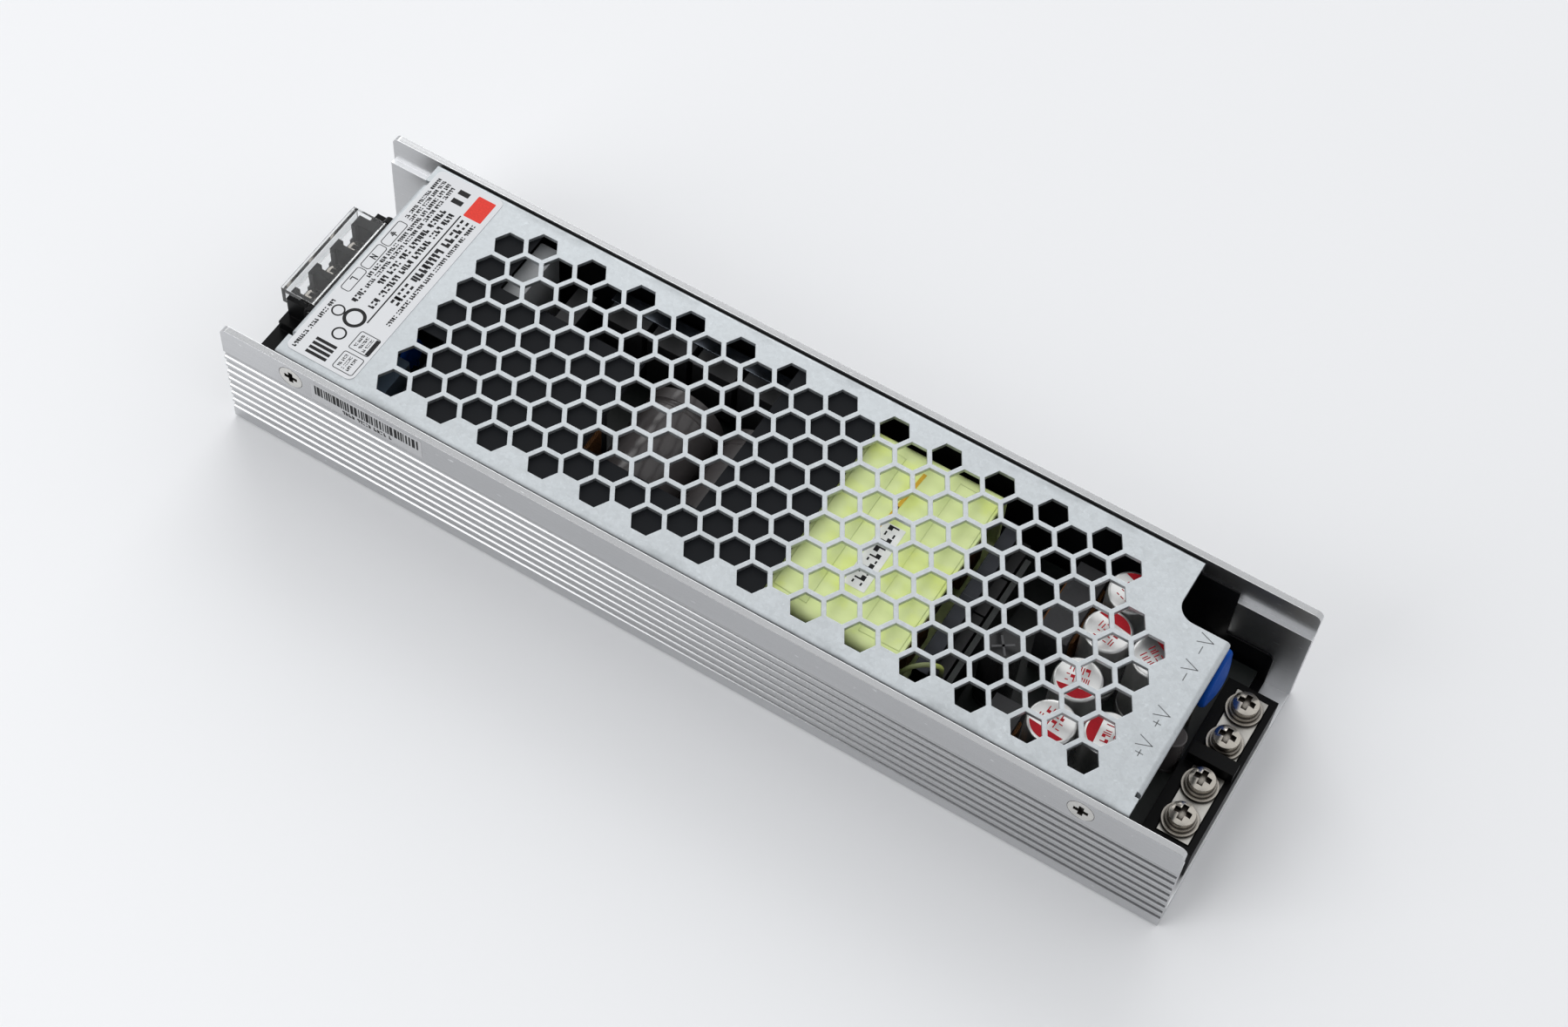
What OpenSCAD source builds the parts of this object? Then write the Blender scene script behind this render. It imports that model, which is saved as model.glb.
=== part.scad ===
// Slim enclosed AC-DC power supply: a ribbed aluminium channel, a perforated steel cover,
// a barrier block with a clear flip-up lid at the mains end and bolted busbars at the output end.
// Millimetres. Origin at the middle of the base, +X towards the output end, +Z up.

/* [Chassis] */
// Length of the aluminium channel
chassis_l = 220; // [217:1:260]
// Width over the ribbed walls
chassis_w = 62; // [60:0.5:74]
// Height of the walls
chassis_h = 31; // [30:0.5:40]
// Thickness of the walls above the ledge that carries the cover
wall_top_t = 1.5; // [1.5:0.1:2]
// Width of the ledge that carries the cover
ledge_w = 1.2; // [1:0.1:1.6]
// Depth of the ledge below the top of the walls
ledge_drop = 6.8; // [6:0.1:7.5]
// Thickness of the floor
floor_t = 2.5; // [2:0.1:3.5]
// Bevel along the bottom outer edges
base_bevel = 0.6; // [0.3:0.1:1]
// Radius of the top corners at the ends of the walls
wall_end_r = 1.5; // [0.5:0.1:3]
// Number of cooling grooves in each wall
groove_n = 8; // [4:1:8]
// Distance between grooves
groove_pitch = 2.54; // [2.3:0.02:2.6]
// Width of a groove
groove_w = 1.8; // [1.2:0.1:2]
// Depth of a groove
groove_depth = 0.5; // [0.3:0.05:0.7]
// Height of the lowest groove above the base
groove_z = 4.65; // [3:0.05:5]

/* [Base mounting holes] */
// Distance between the threaded holes along the channel
mount_x = 150; // [100:1:160]
// Distance between the threaded holes across the channel
mount_y = 40; // [30:1:44]
// Diameter of the threaded holes, at the thread's crest
mount_d = 3.3; // [2.5:0.1:4.2]

/* [Cover] */
// Thickness of the steel sheet
cover_t = 0.9; // [0.6:0.1:0.9]
// How far the cover lies below the top of the walls
cover_recess = 0.3; // [0.2:0.1:0.8]
// Gap between the cover and each wall
cover_gap = 0.15; // [0.1:0.05:0.3]
// Outside radius of the folds
fold_r = 1; // [1:0.1:2]
// Distance from the input end of the channel to the cover
cover_in = 12.3; // [12:0.1:14]
// Distance from the output end of the channel to the cover
cover_out = 12.7; // [12:0.1:14]
// Half the width of the lip folded down at the input edge
in_lip_half = 23; // [16:0.5:24]
// Width of the output lip on the near side of the middle
out_lip_near = 23.5; // [16:0.5:24]
// Depth of the folded lips
lip_drop = 2.4; // [2:0.1:2.6]
// Width of the relief cuts beside the lips
relief_w = 1.2; // [0.8:0.1:1.6]
// Length of the corner cut-out at the output end
notch_l = 12.3; // [8:0.1:14]
// Distance of the corner cut-out from the middle of the cover
notch_y = 15; // [14:0.5:18]
// Inside radius of the corner cut-out
notch_r = 4; // [2:0.5:5]

/* [Perforation] */
// Width of the six-sided holes across their flats
hole_af = 6; // [4:0.1:6.2]
// Distance between neighbouring holes
hole_pitch = 7; // [6.8:0.1:8]
// Solid strip between the input edge and the first column of holes
plain_in = 24.5; // [22:0.1:30]
// Solid strip between the last column of holes and the output edge
plain_out = 12.8; // [11:0.1:18]
// Solid strip along the two sides
plain_side = 3; // [3:0.1:6]

/* [Cover screws] */
// Thread diameter
cover_screw_d = 3; // [2.5:0.1:3.2]
// Diameter of the countersunk heads
cover_head_d = 5.6; // [5:0.1:6]
// Height of the heads
cover_head_h = 1.4; // [1.2:0.1:1.4]
// Length under the face of the wall
cover_screw_l = 4.2; // [4:0.1:5]
// Distance from the input end to the screws there
cover_screw_in = 17.4; // [16:0.1:24]
// Distance from the output end to the near screw there
cover_screw_out = 21.2; // [18:0.1:26]
// Distance from the output end to the far screw, clear of the corner cut-out
cover_screw_far = 31; // [30:0.5:40]
// Depth of the screws below the top of the walls
cover_screw_drop = 3.8; // [3.4:0.1:4]

/* [Labels] */
// Length of the rating label along the cover
label_l = 16.4; // [10:0.2:18]
// Width of the rating label on a case of the standard width
label_w = 55.2; // [30:0.2:55.2]
// Distance of the label from the middle of the cover, towards the far wall
label_y = 0.6; // [0:0.1:0.6]
// Thickness of the label
label_t = 0.1; // [0.1:0.05:0.3]
// Radius of the label's corners
label_r = 1.5; // [0.5:0.1:3]

/* [Circuit board] */
// Thickness of the circuit board
board_t = 1.6; // [1:0.1:2]
// Height of the spacers under the board
spacer_h = 3; // [2.6:0.1:3.4]
// Distance from the input end to the board
board_in = 3; // [2:0.1:4]
// Gap between the board and the insulating film at each side
board_side_gap = 0.9; // [0.5:0.1:1.5]
// Diameter of the spacers
spacer_d = 6; // [5:0.1:6.4]
// Thread diameter of the board screws
board_screw_d = 3; // [2.5:0.1:3]
// Length of the board screws under the head
board_screw_l = 4; // [3:0.1:4]
// Distance of the spacers from the sides of the board
spacer_y = 3.7; // [3.4:0.1:4.4]

/* [Insulation] */
// Thickness of the insulating film on the floor and walls
film_t = 0.4; // [0.2:0.05:0.5]
// Height of the film beside the output terminals
film_low_h = 13; // [10:0.5:20]
// Radius of the film's top corner beside the output terminals
film_corner_r = 1.5; // [1:0.5:5]
// Distance from the output end to the film
film_out = 5.5; // [5:0.5:9]
// Distance from the input end to the film on the walls
film_in = 13; // [12.5:0.5:16]
// Thickness of the sheet under the cover
sheet_t = 0.3; // [0.2:0.05:0.4]

/* [Input terminals] */
// Distance between the input poles
pole_pitch = 7.62; // [7.4:0.02:7.8]
// Number of input poles
pole_n = 3; // [2:1:3]
// Distance from the input end to the front of the block
in_block_set = 1.8; // [1.6:0.1:2.4]
// Length of the block along the channel
in_block_l = 14.7; // [14:0.1:16]
// Height of the shoulders of the block above the base
shoulder_z = 17.5; // [16:0.1:18]
// Height of the barriers above the base
barrier_z = 23.2; // [22.5:0.1:23.3]
// Thickness of the barriers between the poles
barrier_t = 1.6; // [1.2:0.1:2]
// Width of the wire lips at the outer ends of the barriers
barrier_lip_w = 3.2; // [2.4:0.1:3.4]
// Length of the wire lips
barrier_lip_l = 1.2; // [0.8:0.1:1.4]
// Width of each end shoulder outside the barriers
shoulder_w = 2.5; // [2:0.1:4]
// Width of the flange at each end of the block
flange_w = 5.4; // [3:0.1:6]
// Thickness of the flanges
flange_t = 1.5; // [1:0.1:2]
// Height of the top of the flanges above the base
flange_z = 15; // [13:0.1:15.5]
// Height of the floor of the wire bays
bay_z = 15.2; // [14:0.1:15.4]
// Thickness of the contact plates
contact_t = 1; // [0.8:0.1:1.2]
// Thickness of the square wire clamps
clamp_t = 1.2; // [0.8:0.1:1.3]
// Thread diameter of the input screws
in_screw_d = 3.5; // [3:0.1:3.6]
// Diameter of the input screw heads
in_head_d = 5.2; // [4.6:0.1:5.4]
// Height of the input screw heads
in_head_h = 2.4; // [1.8:0.1:2.5]
// Length of the input screws under the head
in_screw_l = 7; // [5:0.1:8]
// Distance from the input end to the screws
in_screw_set = 5.9; // [5.8:0.1:6.4]

/* [Input lid] */
// Thickness of the clear lid
lid_t = 1.2; // [1:0.1:1.4]
// Height of the lid's top above the base
lid_z = 26; // [25.8:0.1:26.2]
// Width of the lid
lid_w = 25.7; // [25:0.1:25.8]
// Gap between the lid's front and the input end of the channel
lid_set = 1.4; // [1.2:0.1:1.6]
// Thickness of the lid's front skirt
skirt_t = 0.9; // [0.7:0.1:0.9]
// Depth of the lid's front skirt
skirt_h = 4.8; // [4:0.1:4.9]
// Distance from the input end to the hinge
hinge_x = 10; // [9.8:0.1:10.3]
// Depth of the hinge below the lid's top
hinge_drop = 1.4; // [1.3:0.1:1.5]
// Radius of the hinge pins
hinge_r = 0.8; // [0.6:0.05:0.9]
// Radial clearance of the hinge pins
hinge_clear = 0.05; // [0.03:0.01:0.1]
// Radius of the hinge knuckle
knuckle_r = 1.2; // [1:0.05:1.2]
// Thickness of the hinge ears on the block
ear_t = 1.6; // [1.2:0.1:2.2]
// Side gap between the lid and the hinge ears
lid_side_gap = 0.2; // [0.15:0.05:0.4]

/* [Output terminals] */
// Length of the output block along the channel
out_block_l = 11.1; // [11:0.1:11.4]
// Distance from the output end to the front of the block
out_block_set = 0.3; // [0.2:0.1:0.6]
// Height of the rim of the block above the base
out_rim_z = 11.6; // [11:0.1:12]
// Depth of the seats for the busbars below the rim
busbar_seat = 1; // [0.6:0.1:1.2]
// Thickness of the rim
out_rim_t = 1.4; // [1:0.1:1.6]
// Thickness of the rim behind the busbars
out_back_t = 2.5; // [2.2:0.1:2.6]
// Thickness of the busbars
busbar_t = 1.2; // [0.8:0.1:1.5]
// Height of the barrier between the busbars
out_barrier_z = 14.6; // [14:0.1:20]
// Thickness of the barrier between the busbars
out_barrier_t = 3.2; // [2:0.1:4]
// Clearance around the flat washers
washer_gap = 0.15; // [0.1:0.05:0.5]
// Distance between the two screws of a busbar
out_screw_pitch = 8.8; // [8.2:0.1:9]
// Thread diameter of the output screws
out_screw_d = 3.5; // [3:0.1:3.6]
// Diameter of the output screw heads
out_head_d = 5.4; // [5.2:0.1:6.4]
// Height of the output screw heads
out_head_h = 2.2; // [1.8:0.1:2.8]
// Length of the output screws under the head
out_screw_l = 5.6; // [5.3:0.1:5.8]
// Diameter of the flat washers
flat_washer_d = 7.5; // [6.8:0.1:7.6]
// Thickness of the flat washers
flat_washer_t = 0.7; // [0.5:0.05:1]
// Diameter of the spring washers
spring_washer_d = 6.2; // [5.8:0.1:6.6]
// Thickness of the spring washers
spring_washer_t = 0.9; // [0.6:0.05:1.1]
// Width of the square nuts under the busbars
nut_w = 6; // [5.5:0.1:6.4]
// Thickness of the square nuts
nut_t = 2.4; // [2:0.1:3]

/* [Transformer] */
// Length of the wrapped transformer along the channel
trafo_l = 30.4; // [26:0.2:31]
// Width of the wrapped transformer
trafo_w = 46.4; // [40:0.2:50]
// Clearance between the transformer and the cover
trafo_clear = 1.5; // [1.5:0.1:4]
// Thickness of the tape and insulation around the core
wrap_t = 1.2; // [0.8:0.1:1.6]
// Radius of the wrapped edges
wrap_r = 2.4; // [1.8:0.1:4]
// Height of the base that carries the core
trafo_base_h = 2.4; // [2:0.1:4]

/* [Capacitors] */
// Diameter of the bulk capacitors
bulk_d = 18; // [14:0.5:18]
// Length of the bulk capacitors
bulk_l = 35; // [25:0.5:36]
// Diameter of the output capacitors
out_cap_d = 10; // [8:0.1:10.2]
// Clearance between the output capacitors and the cover
out_cap_clear = 2.6; // [1.5:0.1:5]
// Diameter of the auxiliary capacitor
aux_cap_d = 8; // [6:0.1:8.4]
// Diameter of the filter capacitor at the output terminals
filter_cap_d = 5; // [4:0.1:5]
// Height of the filter capacitor
filter_cap_h = 11; // [9:0.5:12]
// Diameter of the blue disc capacitor
disc_d = 12.8; // [10:0.2:12.8]
// Thickness of the blue disc capacitor
disc_t = 4; // [3:0.1:4]

/* [Mains parts] */
// Diameter of the fuse
fuse_d = 5.2; // [4.8:0.1:5.4]
// Length of the fuse
fuse_l = 20; // [17:0.5:20.5]
// Thickness of the fuse clips
clip_t = 0.5; // [0.3:0.1:0.6]
// Diameter of the varistor
varistor_d = 10; // [7:0.5:11]
// Thickness of the varistor
varistor_t = 4; // [3:0.1:4.5]
// Diameter of the filter disc capacitors
y_cap_d = 7.5; // [6:0.5:8]
// Thickness of the filter disc capacitors
y_cap_t = 3.4; // [2.5:0.1:3.6]
// Length of the film capacitor along the channel
film_cap_l = 5.4; // [4:0.1:5.6]
// Width of the film capacitor
film_cap_w = 13; // [8:0.5:13.5]
// Height of the film capacitor
film_cap_h = 17; // [12:0.5:18]
// Length of the relay along the channel
relay_l = 4.6; // [4:0.1:5]
// Width of the relay
relay_w = 15.4; // [12:0.2:16]
// Clearance between the relay and the cover
relay_clear = 2.7; // [1.5:0.1:4]
// Thickness of the bridge rectifier
bridge_t = 4.6; // [3.5:0.1:5]
// Width of the bridge rectifier
bridge_w = 19; // [15:0.5:20]
// Height of the bridge rectifier
bridge_h = 13; // [10:0.5:14]

/* [Magnetics and power parts] */
// Length of the power-factor choke along the channel
pfc_l = 16; // [12:0.5:17]
// Width of the power-factor choke
pfc_w = 20; // [16:0.5:21]
// Height of the power-factor choke
pfc_h = 18; // [12:0.5:19]
// Thickness of the power-factor choke's core
pfc_wall = 2.6; // [2:0.1:3]
// Outside diameter of the mains filter choke
emi_d = 17; // [12:0.5:17.5]
// Width of the mains filter choke's ring
emi_w = 9; // [7:0.5:10]
// Thickness of the filter choke's core
emi_ring_t = 3.4; // [2.4:0.1:3.8]
// Thickness of the winding on the filter choke
emi_wire = 1; // [0.6:0.1:1.2]
// Thickness of the heatsink bars
sink_t = 3.2; // [2:0.1:3.4]
// Height of the heatsink bars
sink_h = 18; // [16:0.5:20]
// Length of the mains-side heatsink bar
sink_l = 44; // [40:1:46]
// Width of the output-side heatsink bar
rect_sink_w = 40; // [38:0.5:44]
// Thickness of the output rectifiers
rect_t = 2.4; // [1.8:0.1:2.8]
// Height of the output rectifiers
rect_h = 10; // [8:0.5:12]
// Width of the upright control board
control_w = 36; // [24:0.5:38]
// Height of the upright control board
control_h = 16; // [10:0.5:18]
// Thickness of the upright control board
control_t = 1.2; // [0.8:0.1:1.6]
// Length of the output chokes along the channel
choke_l = 6.6; // [5:0.1:6.8]
// Height of the output chokes
choke_h = 14.5; // [10:0.5:16]
// Thickness of the output chokes' cores
choke_wall = 2; // [1.5:0.1:2.4]

/* [Hidden] */
$fn = 64;
// Fine overlap that a cutting shape has past the face it cuts
cut = 0.5;
// Clearance between a part and the pocket or hole that takes it
fit_gap = 0.1;

// Case width that the label's width is given for
standard_w = 62;

in_x = -chassis_l / 2;
out_x = chassis_l / 2;
half_w = chassis_w / 2;
upper_in_y = half_w - wall_top_t;
lower_in_y = upper_in_y - ledge_w;
ledge_z = chassis_h - ledge_drop;
groove_r = (groove_w * groove_w / 4 + groove_depth * groove_depth) / (2 * groove_depth);

cover_x0 = in_x + cover_in;
cover_x1 = out_x - cover_out;
cover_z = chassis_h - cover_recess;
cover_under_z = cover_z - cover_t;
cover_half_w = upper_in_y - cover_gap;
notch_x = cover_x1 - notch_l;
hole_dx = hole_pitch * cos(30);
hole_x0 = cover_x0 + plain_in;
hole_cols = floor((cover_x1 - plain_out - hole_x0) / hole_dx + 0.01);
hole_rows = floor((2 * cover_half_w - 2 * plain_side) / hole_pitch);
cover_screw_z = chassis_h - cover_screw_drop;
cover_rim_h = 0.1;
cover_taper_h = min((cover_head_d - cover_screw_d) / 2, cover_head_h - cover_rim_h);
// Each cover screw: distance along the channel, side of the channel
cover_screws_at = [
    [in_x + cover_screw_in, -1],
    [out_x - cover_screw_out, -1],
    [in_x + cover_screw_in, 1],
    [out_x - cover_screw_far, 1]
];

film_floor_z = floor_t + film_t;
film_step = 3.6;
film_below_cover = 1.7;
film_wall_y = min(lower_in_y, cover_half_w - cover_t) - fit_gap;
board_z0 = floor_t + spacer_h;
board_z = board_z0 + board_t;
board_half_w = film_wall_y - film_t - board_side_gap;
board_x0 = in_x + board_in;
spacer_bore_d = board_screw_d + fit_gap;
board_head_d = 5.2;
board_head_h = 1.8;

in_block_x0 = in_x + in_block_set;
in_block_x1 = in_block_x0 + in_block_l;
barriers_half = pole_n * pole_pitch / 2 + barrier_t;
in_half = barriers_half + shoulder_w;
skirt_gap = 0.3;
barrier_x0 = in_x + lid_set + skirt_t + skirt_gap;
back_wall_t = 5;
bay_x1 = in_block_x1 - back_wall_t;
poles_y = [for (i = [0 : pole_n - 1]) (i - (pole_n - 1) / 2) * pole_pitch];
bay_half = (pole_pitch - barrier_t) / 2;
throat_half = (pole_pitch - barrier_lip_w) / 2;
in_screw_x = in_x + in_screw_set;
contact_z = bay_z + contact_t;
in_head_z = contact_z + clamp_t;

lid_x0 = in_x + lid_set;
lid_hinge_x = in_x + hinge_x;
lid_hinge_z = lid_z - hinge_drop;
lid_x1 = lid_hinge_x + knuckle_r;
ear_y0 = lid_w / 2 + lid_side_gap;

out_block_x1 = out_x - out_block_set;
out_block_x0 = out_block_x1 - out_block_l;
seat_z = out_rim_z - busbar_seat;
busbar_z = seat_z + busbar_t;
busbar_gap = 0.2;
busbar_x0 = out_block_x0 + out_back_t + busbar_gap;
busbar_x1 = out_block_x1 - out_rim_t - busbar_gap;
busbar_leg_x1 = busbar_x0 + busbar_t;
board_x1 = busbar_leg_x1 + fit_gap;
out_screw_y = out_barrier_t / 2 + washer_gap + flat_washer_d / 2;
out_block_w = 2 * (out_screw_y + out_screw_pitch + flat_washer_d / 2 + washer_gap + busbar_gap + out_rim_t);
busbar_y0 = out_barrier_t / 2 + busbar_gap;
busbar_y1 = out_block_w / 2 - out_rim_t - busbar_gap;
// The leg of a busbar goes down to the board between its two nuts
leg_side = nut_w / 2 + 4 * fit_gap;
busbar_leg_y = [out_screw_y + leg_side, out_screw_y + out_screw_pitch - leg_side];
out_screw_x = out_block_x1 - out_rim_t - washer_gap - flat_washer_d / 2;
out_screws_y = [for (s = [-1, 1]) for (k = [0, 1]) s * (out_screw_y + k * out_screw_pitch)];
spring_z = busbar_z + flat_washer_t;
out_head_z = spring_z + spring_washer_t;

// Places of the inner parts: _in is from the input end, _out from the output end, _near and _far
// are from the sides of the board, and _y is across from the middle

trafo_out = 81;
trafo_x = out_x - trafo_out;
trafo_x0 = trafo_x - trafo_l / 2;
trafo_x1 = trafo_x + trafo_l / 2;
trafo_z1 = cover_under_z - trafo_clear;
trafo_z0 = board_z + trafo_base_h;

// As many bulk capacitors as there is room for before the spacers beside the transformer
bulk_in = 77.2;
bulk_near = 2.9;
bulk_gap = 1.2;
spacer_room = 5.8;
bulk_x0 = in_x + bulk_in;
bulk_n = floor((trafo_x0 - spacer_room - bulk_x0 + bulk_gap) / (bulk_d + bulk_gap));
bulk_x = [for (i = [0 : bulk_n - 1]) bulk_x0 + bulk_d / 2 + i * (bulk_d + bulk_gap)];
bulk_x1 = bulk_x0 + bulk_n * (bulk_d + bulk_gap) - bulk_gap;
bulk_y1 = bulk_near + bulk_l - board_half_w;

spacer_in = 25.4;
spacer_out = 18.5;
spacers_x = [in_x + spacer_in, (bulk_x1 + trafo_x0) / 2, out_x - spacer_out];
spacers_at = [for (x = spacers_x) for (s = [-1, 1]) [x, s * (board_half_w - spacer_y)]];

fuse_in = 21.5;
fuse_near = 7.4;
fuse_lift = 1;
fuse_at = [in_x + fuse_in, fuse_near + fuse_l / 2 - board_half_w];
fuse_z = board_z + fuse_lift + fuse_d / 2;
varistor_in = 19.5;
varistor_y = 10;
varistor_at = [in_x + varistor_in, varistor_y];
y_cap_in = 26;
y_caps_y = [-5, 12];
disc_lift = 2;
film_cap_in = 31.3;
film_cap_near = 0.9;
film_cap_at = [in_x + film_cap_in, film_cap_near + film_cap_w / 2 - board_half_w];
emi_in = 45.5;
emi_y = -10;
emi_lift = 0.2;
emi_at = [in_x + emi_in, emi_y];
emi_z = board_z + emi_lift + emi_d / 2;
relay_in = 42.7;
relay_far = 1;
relay_at = [in_x + relay_in, board_half_w - relay_far - relay_w / 2];
bridge_in = 54.3;
bridge_far = 4.5;
bridge_at = [in_x + bridge_in, board_half_w - bridge_far - bridge_w / 2];
boost_in = 66.5;
boost_near = 5.4;
boost_overhang = 0.8;
boost_at = [in_x + boost_in, boost_near + pfc_w / 2 - board_half_w];

// The mains-side heatsink bar lies between the relay and the transformer, a little nearer the relay
sink_far = 1;
sink_shift = 2.4;
sink_y1 = board_half_w - sink_far;
sink_x0 = (relay_at[0] + relay_l / 2 + trafo_x0 - sink_l) / 2 - sink_shift;
sink_x1 = sink_x0 + sink_l;
// As many transistors as the bar has room for beside the bridge rectifier
transistor_w = 9.6;
transistor_t = 4.4;
transistor_h = 14;
transistor_gap = 1;
transistors_x0 = max(sink_x0, bridge_at[0] + bridge_t / 2 + transistor_gap);
transistors_l = sink_x1 - transistors_x0;
transistor_n = floor(transistors_l / (transistor_w + transistor_gap));
transistors_x = [for (i = [0 : transistor_n - 1]) transistors_x0 + transistors_l * (i + 0.5) / transistor_n];
lead_pitch = 2.54;
lead_h = 3.5;
lead_d = 0.9;

rect_sink_gap = 2.4;
rect_sink_x = trafo_x1 + rect_sink_gap;
rect_gap = 1;
rect_n = 4;
rect_pitch = 10;
rects_y = [for (i = [0 : rect_n - 1]) (i - (rect_n - 1) / 2) * rect_pitch];
control_x = rect_sink_x + sink_t + rect_t + rect_gap;
control_y = -3;

choke_out = 44.2;
wide_choke_w = 19;
wide_choke_y = 12;
slim_choke_w = 10;
slim_choke_near = 2.9;
slim_choke_y = slim_choke_near + slim_choke_w / 2 - board_half_w;
choke_overhang = 0.6;
// Each output choke: place along and across the channel, width
chokes_at = [
    [out_x - choke_out, wide_choke_y, wide_choke_w],
    [out_x - choke_out, slim_choke_y, slim_choke_w]
];
aux_cap_gap = 1;
aux_cap_side = 3.2;
aux_cap_drop = 1;
aux_cap_at = [
    control_x + control_t + aux_cap_gap + aux_cap_d / 2,
    slim_choke_y + slim_choke_w / 2 + aux_cap_side + aux_cap_d / 2
];

out_cap_h = cover_under_z - out_cap_clear - board_z;
// Each output capacitor: distance from the output end, place across
out_caps = [[34.7, 17.2], [34.7, 6.8], [24.1, 6.6], [34.7, -6], [34.7, -17], [24.2, -13.5]];
out_caps_at = [for (c = out_caps) [out_x - c[0], c[1]]];
filter_cap_y = -1.7;
filter_cap_behind = 0.2;
filter_cap_at = [out_block_x0 - filter_cap_behind - filter_cap_d / 2, filter_cap_y];
disc_y = 12;
disc_lead_d = 0.7;
disc_lead_pitch = 7.5;
disc_behind = 3.5;
disc_under_lip = 0.4;
disc_x0 = out_block_x0 - disc_behind;
disc_z = cover_z - lip_drop - disc_under_lip - disc_d / 2;

// Shapes that several pieces share

// A block between the given limits on each axis
module bar(x, y, z) {
    translate([x[0], y[0], z[0]])
        cube([x[1] - x[0], y[1] - y[0], z[1] - z[0]]);
}

// A flat rectangle with round corners, centred
module round_rect(w, h, r) {
    square([w - 2 * r, h], center = true);
    square([w, h - 2 * r], center = true);
    for (sx = [-1, 1])
        for (sy = [-1, 1])
            translate([sx * (w / 2 - r), sy * (h / 2 - r)])
                circle(r);
}

// An upright block with round vertical edges, standing on z0
module round_bar(centre, size, r, z0) {
    translate([centre[0], centre[1], z0])
        linear_extrude(size[2])
            round_rect(size[0], size[1], r);
}

// A section drawn in Y and Z, drawn out along X
module along_x(x0, x1) {
    translate([x0, 0, 0])
        rotate([90, 0, 90])
            linear_extrude(x1 - x0)
                children();
}

// A section drawn in X and Z, drawn out along Y
module along_y(y0, y1) {
    translate([0, y1, 0])
        rotate([90, 0, 0])
            linear_extrude(y1 - y0)
                children();
}

// The piece and its mirror image across the channel
module both_sides() {
    children();
    mirror([0, 1, 0])
        children();
}

// The cross cut into a screw head whose top is at z = 0
module cross_recess(width, depth) {
    slot = width * 0.34;
    for (a = [0, 90])
        rotate([0, 0, a])
            translate([-width / 2, -slot / 2, -depth])
                cube([width, slot, depth + cut]);
}

// A screw with a domed head, standing on z = 0, shank downwards
module pan_screw(d, l, head_d, head_h) {
    flatness = 1.9;
    dome_r = (head_d * head_d / 4 + head_h * head_h) / (2 * head_h) * flatness;
    difference() {
        union() {
            rotate_extrude()
                intersection() {
                    square([head_d / 2, head_h]);
                    translate([0, head_h - dome_r])
                        circle(dome_r);
                }
            translate([0, 0, -l])
                cylinder(d = d, h = l + cut);
        }
        translate([0, 0, head_h])
            cross_recess(head_d * 0.66, head_h * 0.6);
    }
}

// A flat ring
module washer(od, id, t) {
    difference() {
        cylinder(d = od, h = t);
        translate([0, 0, -cut])
            cylinder(d = id, h = t + 2 * cut);
    }
}

// A round capacitor standing on z = 0, with a rolled neck and a soft top edge
module can(d, h) {
    neck = d * 0.05;
    neck_z = d * 0.2;
    edge = d * 0.06;
    rotate_extrude()
        difference() {
            union() {
                square([d / 2, h - edge]);
                square([d / 2 - edge, h]);
                translate([d / 2 - edge, h - edge])
                    circle(edge);
            }
            translate([d / 2 + neck * 0.4, neck_z])
                circle(neck);
        }
}

// A disc with domed faces and a round rim, standing on its rim, thin along X
module edge_disc(d, t) {
    rim = t * 0.5;
    sag = (t - rim) / 2;
    reach = (d - rim) / 2;
    face_r = (reach * reach + sag * sag) / (2 * sag);
    rotate([0, 90, 0])
        rotate_extrude() {
            intersection() {
                square([reach, t]);
                translate([0, t - face_r])
                    circle(face_r);
                translate([0, face_r])
                    circle(face_r);
            }
            intersection() {
                translate([reach, t / 2])
                    circle(rim / 2);
                square([d, t]);
            }
        }
}

// Straight wires down to the circuit board
module leads(points, z1, d) {
    for (p = points)
        translate([p[0], p[1], board_z])
            cylinder(d = d, h = z1 - board_z);
}

// Aluminium channel

module chassis_section() {
    difference() {
        polygon([
            [-half_w + base_bevel, 0],
            [half_w - base_bevel, 0],
            [half_w, base_bevel],
            [half_w, chassis_h],
            [upper_in_y, chassis_h],
            [upper_in_y, ledge_z],
            [lower_in_y, ledge_z],
            [lower_in_y, floor_t],
            [-lower_in_y, floor_t],
            [-lower_in_y, ledge_z],
            [-upper_in_y, ledge_z],
            [-upper_in_y, chassis_h],
            [-half_w, chassis_h],
            [-half_w, base_bevel]
        ]);
        for (s = [-1, 1])
            for (i = [0 : groove_n - 1])
                translate([s * (half_w + groove_r - groove_depth), groove_z + i * groove_pitch])
                    circle(groove_r);
    }
}

// What is taken off one top corner at the end of the walls
module wall_end_round() {
    difference() {
        translate([-wall_end_r, -half_w - cut, -wall_end_r])
            cube([wall_end_r + cut, chassis_w + 2 * cut, wall_end_r + cut]);
        translate([-wall_end_r, half_w + 2 * cut, -wall_end_r])
            rotate([90, 0, 0])
                cylinder(r = wall_end_r, h = chassis_w + 4 * cut);
    }
}

// Countersunk hole through one wall, from its outer face inwards along +Z
module countersink() {
    translate([0, 0, -cut])
        cylinder(d = cover_screw_d + 2 * fit_gap, h = wall_top_t + 2 * cut);
    translate([0, 0, -cut])
        cylinder(d = cover_head_d + 2 * fit_gap, h = cut + cover_head_h - cover_taper_h + 0.01);
    translate([0, 0, cover_head_h - cover_taper_h])
        cylinder(d1 = cover_head_d + 2 * fit_gap, d2 = cover_screw_d + 2 * fit_gap, h = cover_taper_h);
}

// Places a shape at every cover screw, with +Z pointing into the channel
module at_cover_screws() {
    for (p = cover_screws_at)
        translate([p[0], p[1] * half_w, cover_screw_z])
            rotate([p[1] * 90, 0, 0])
                children();
}

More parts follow.
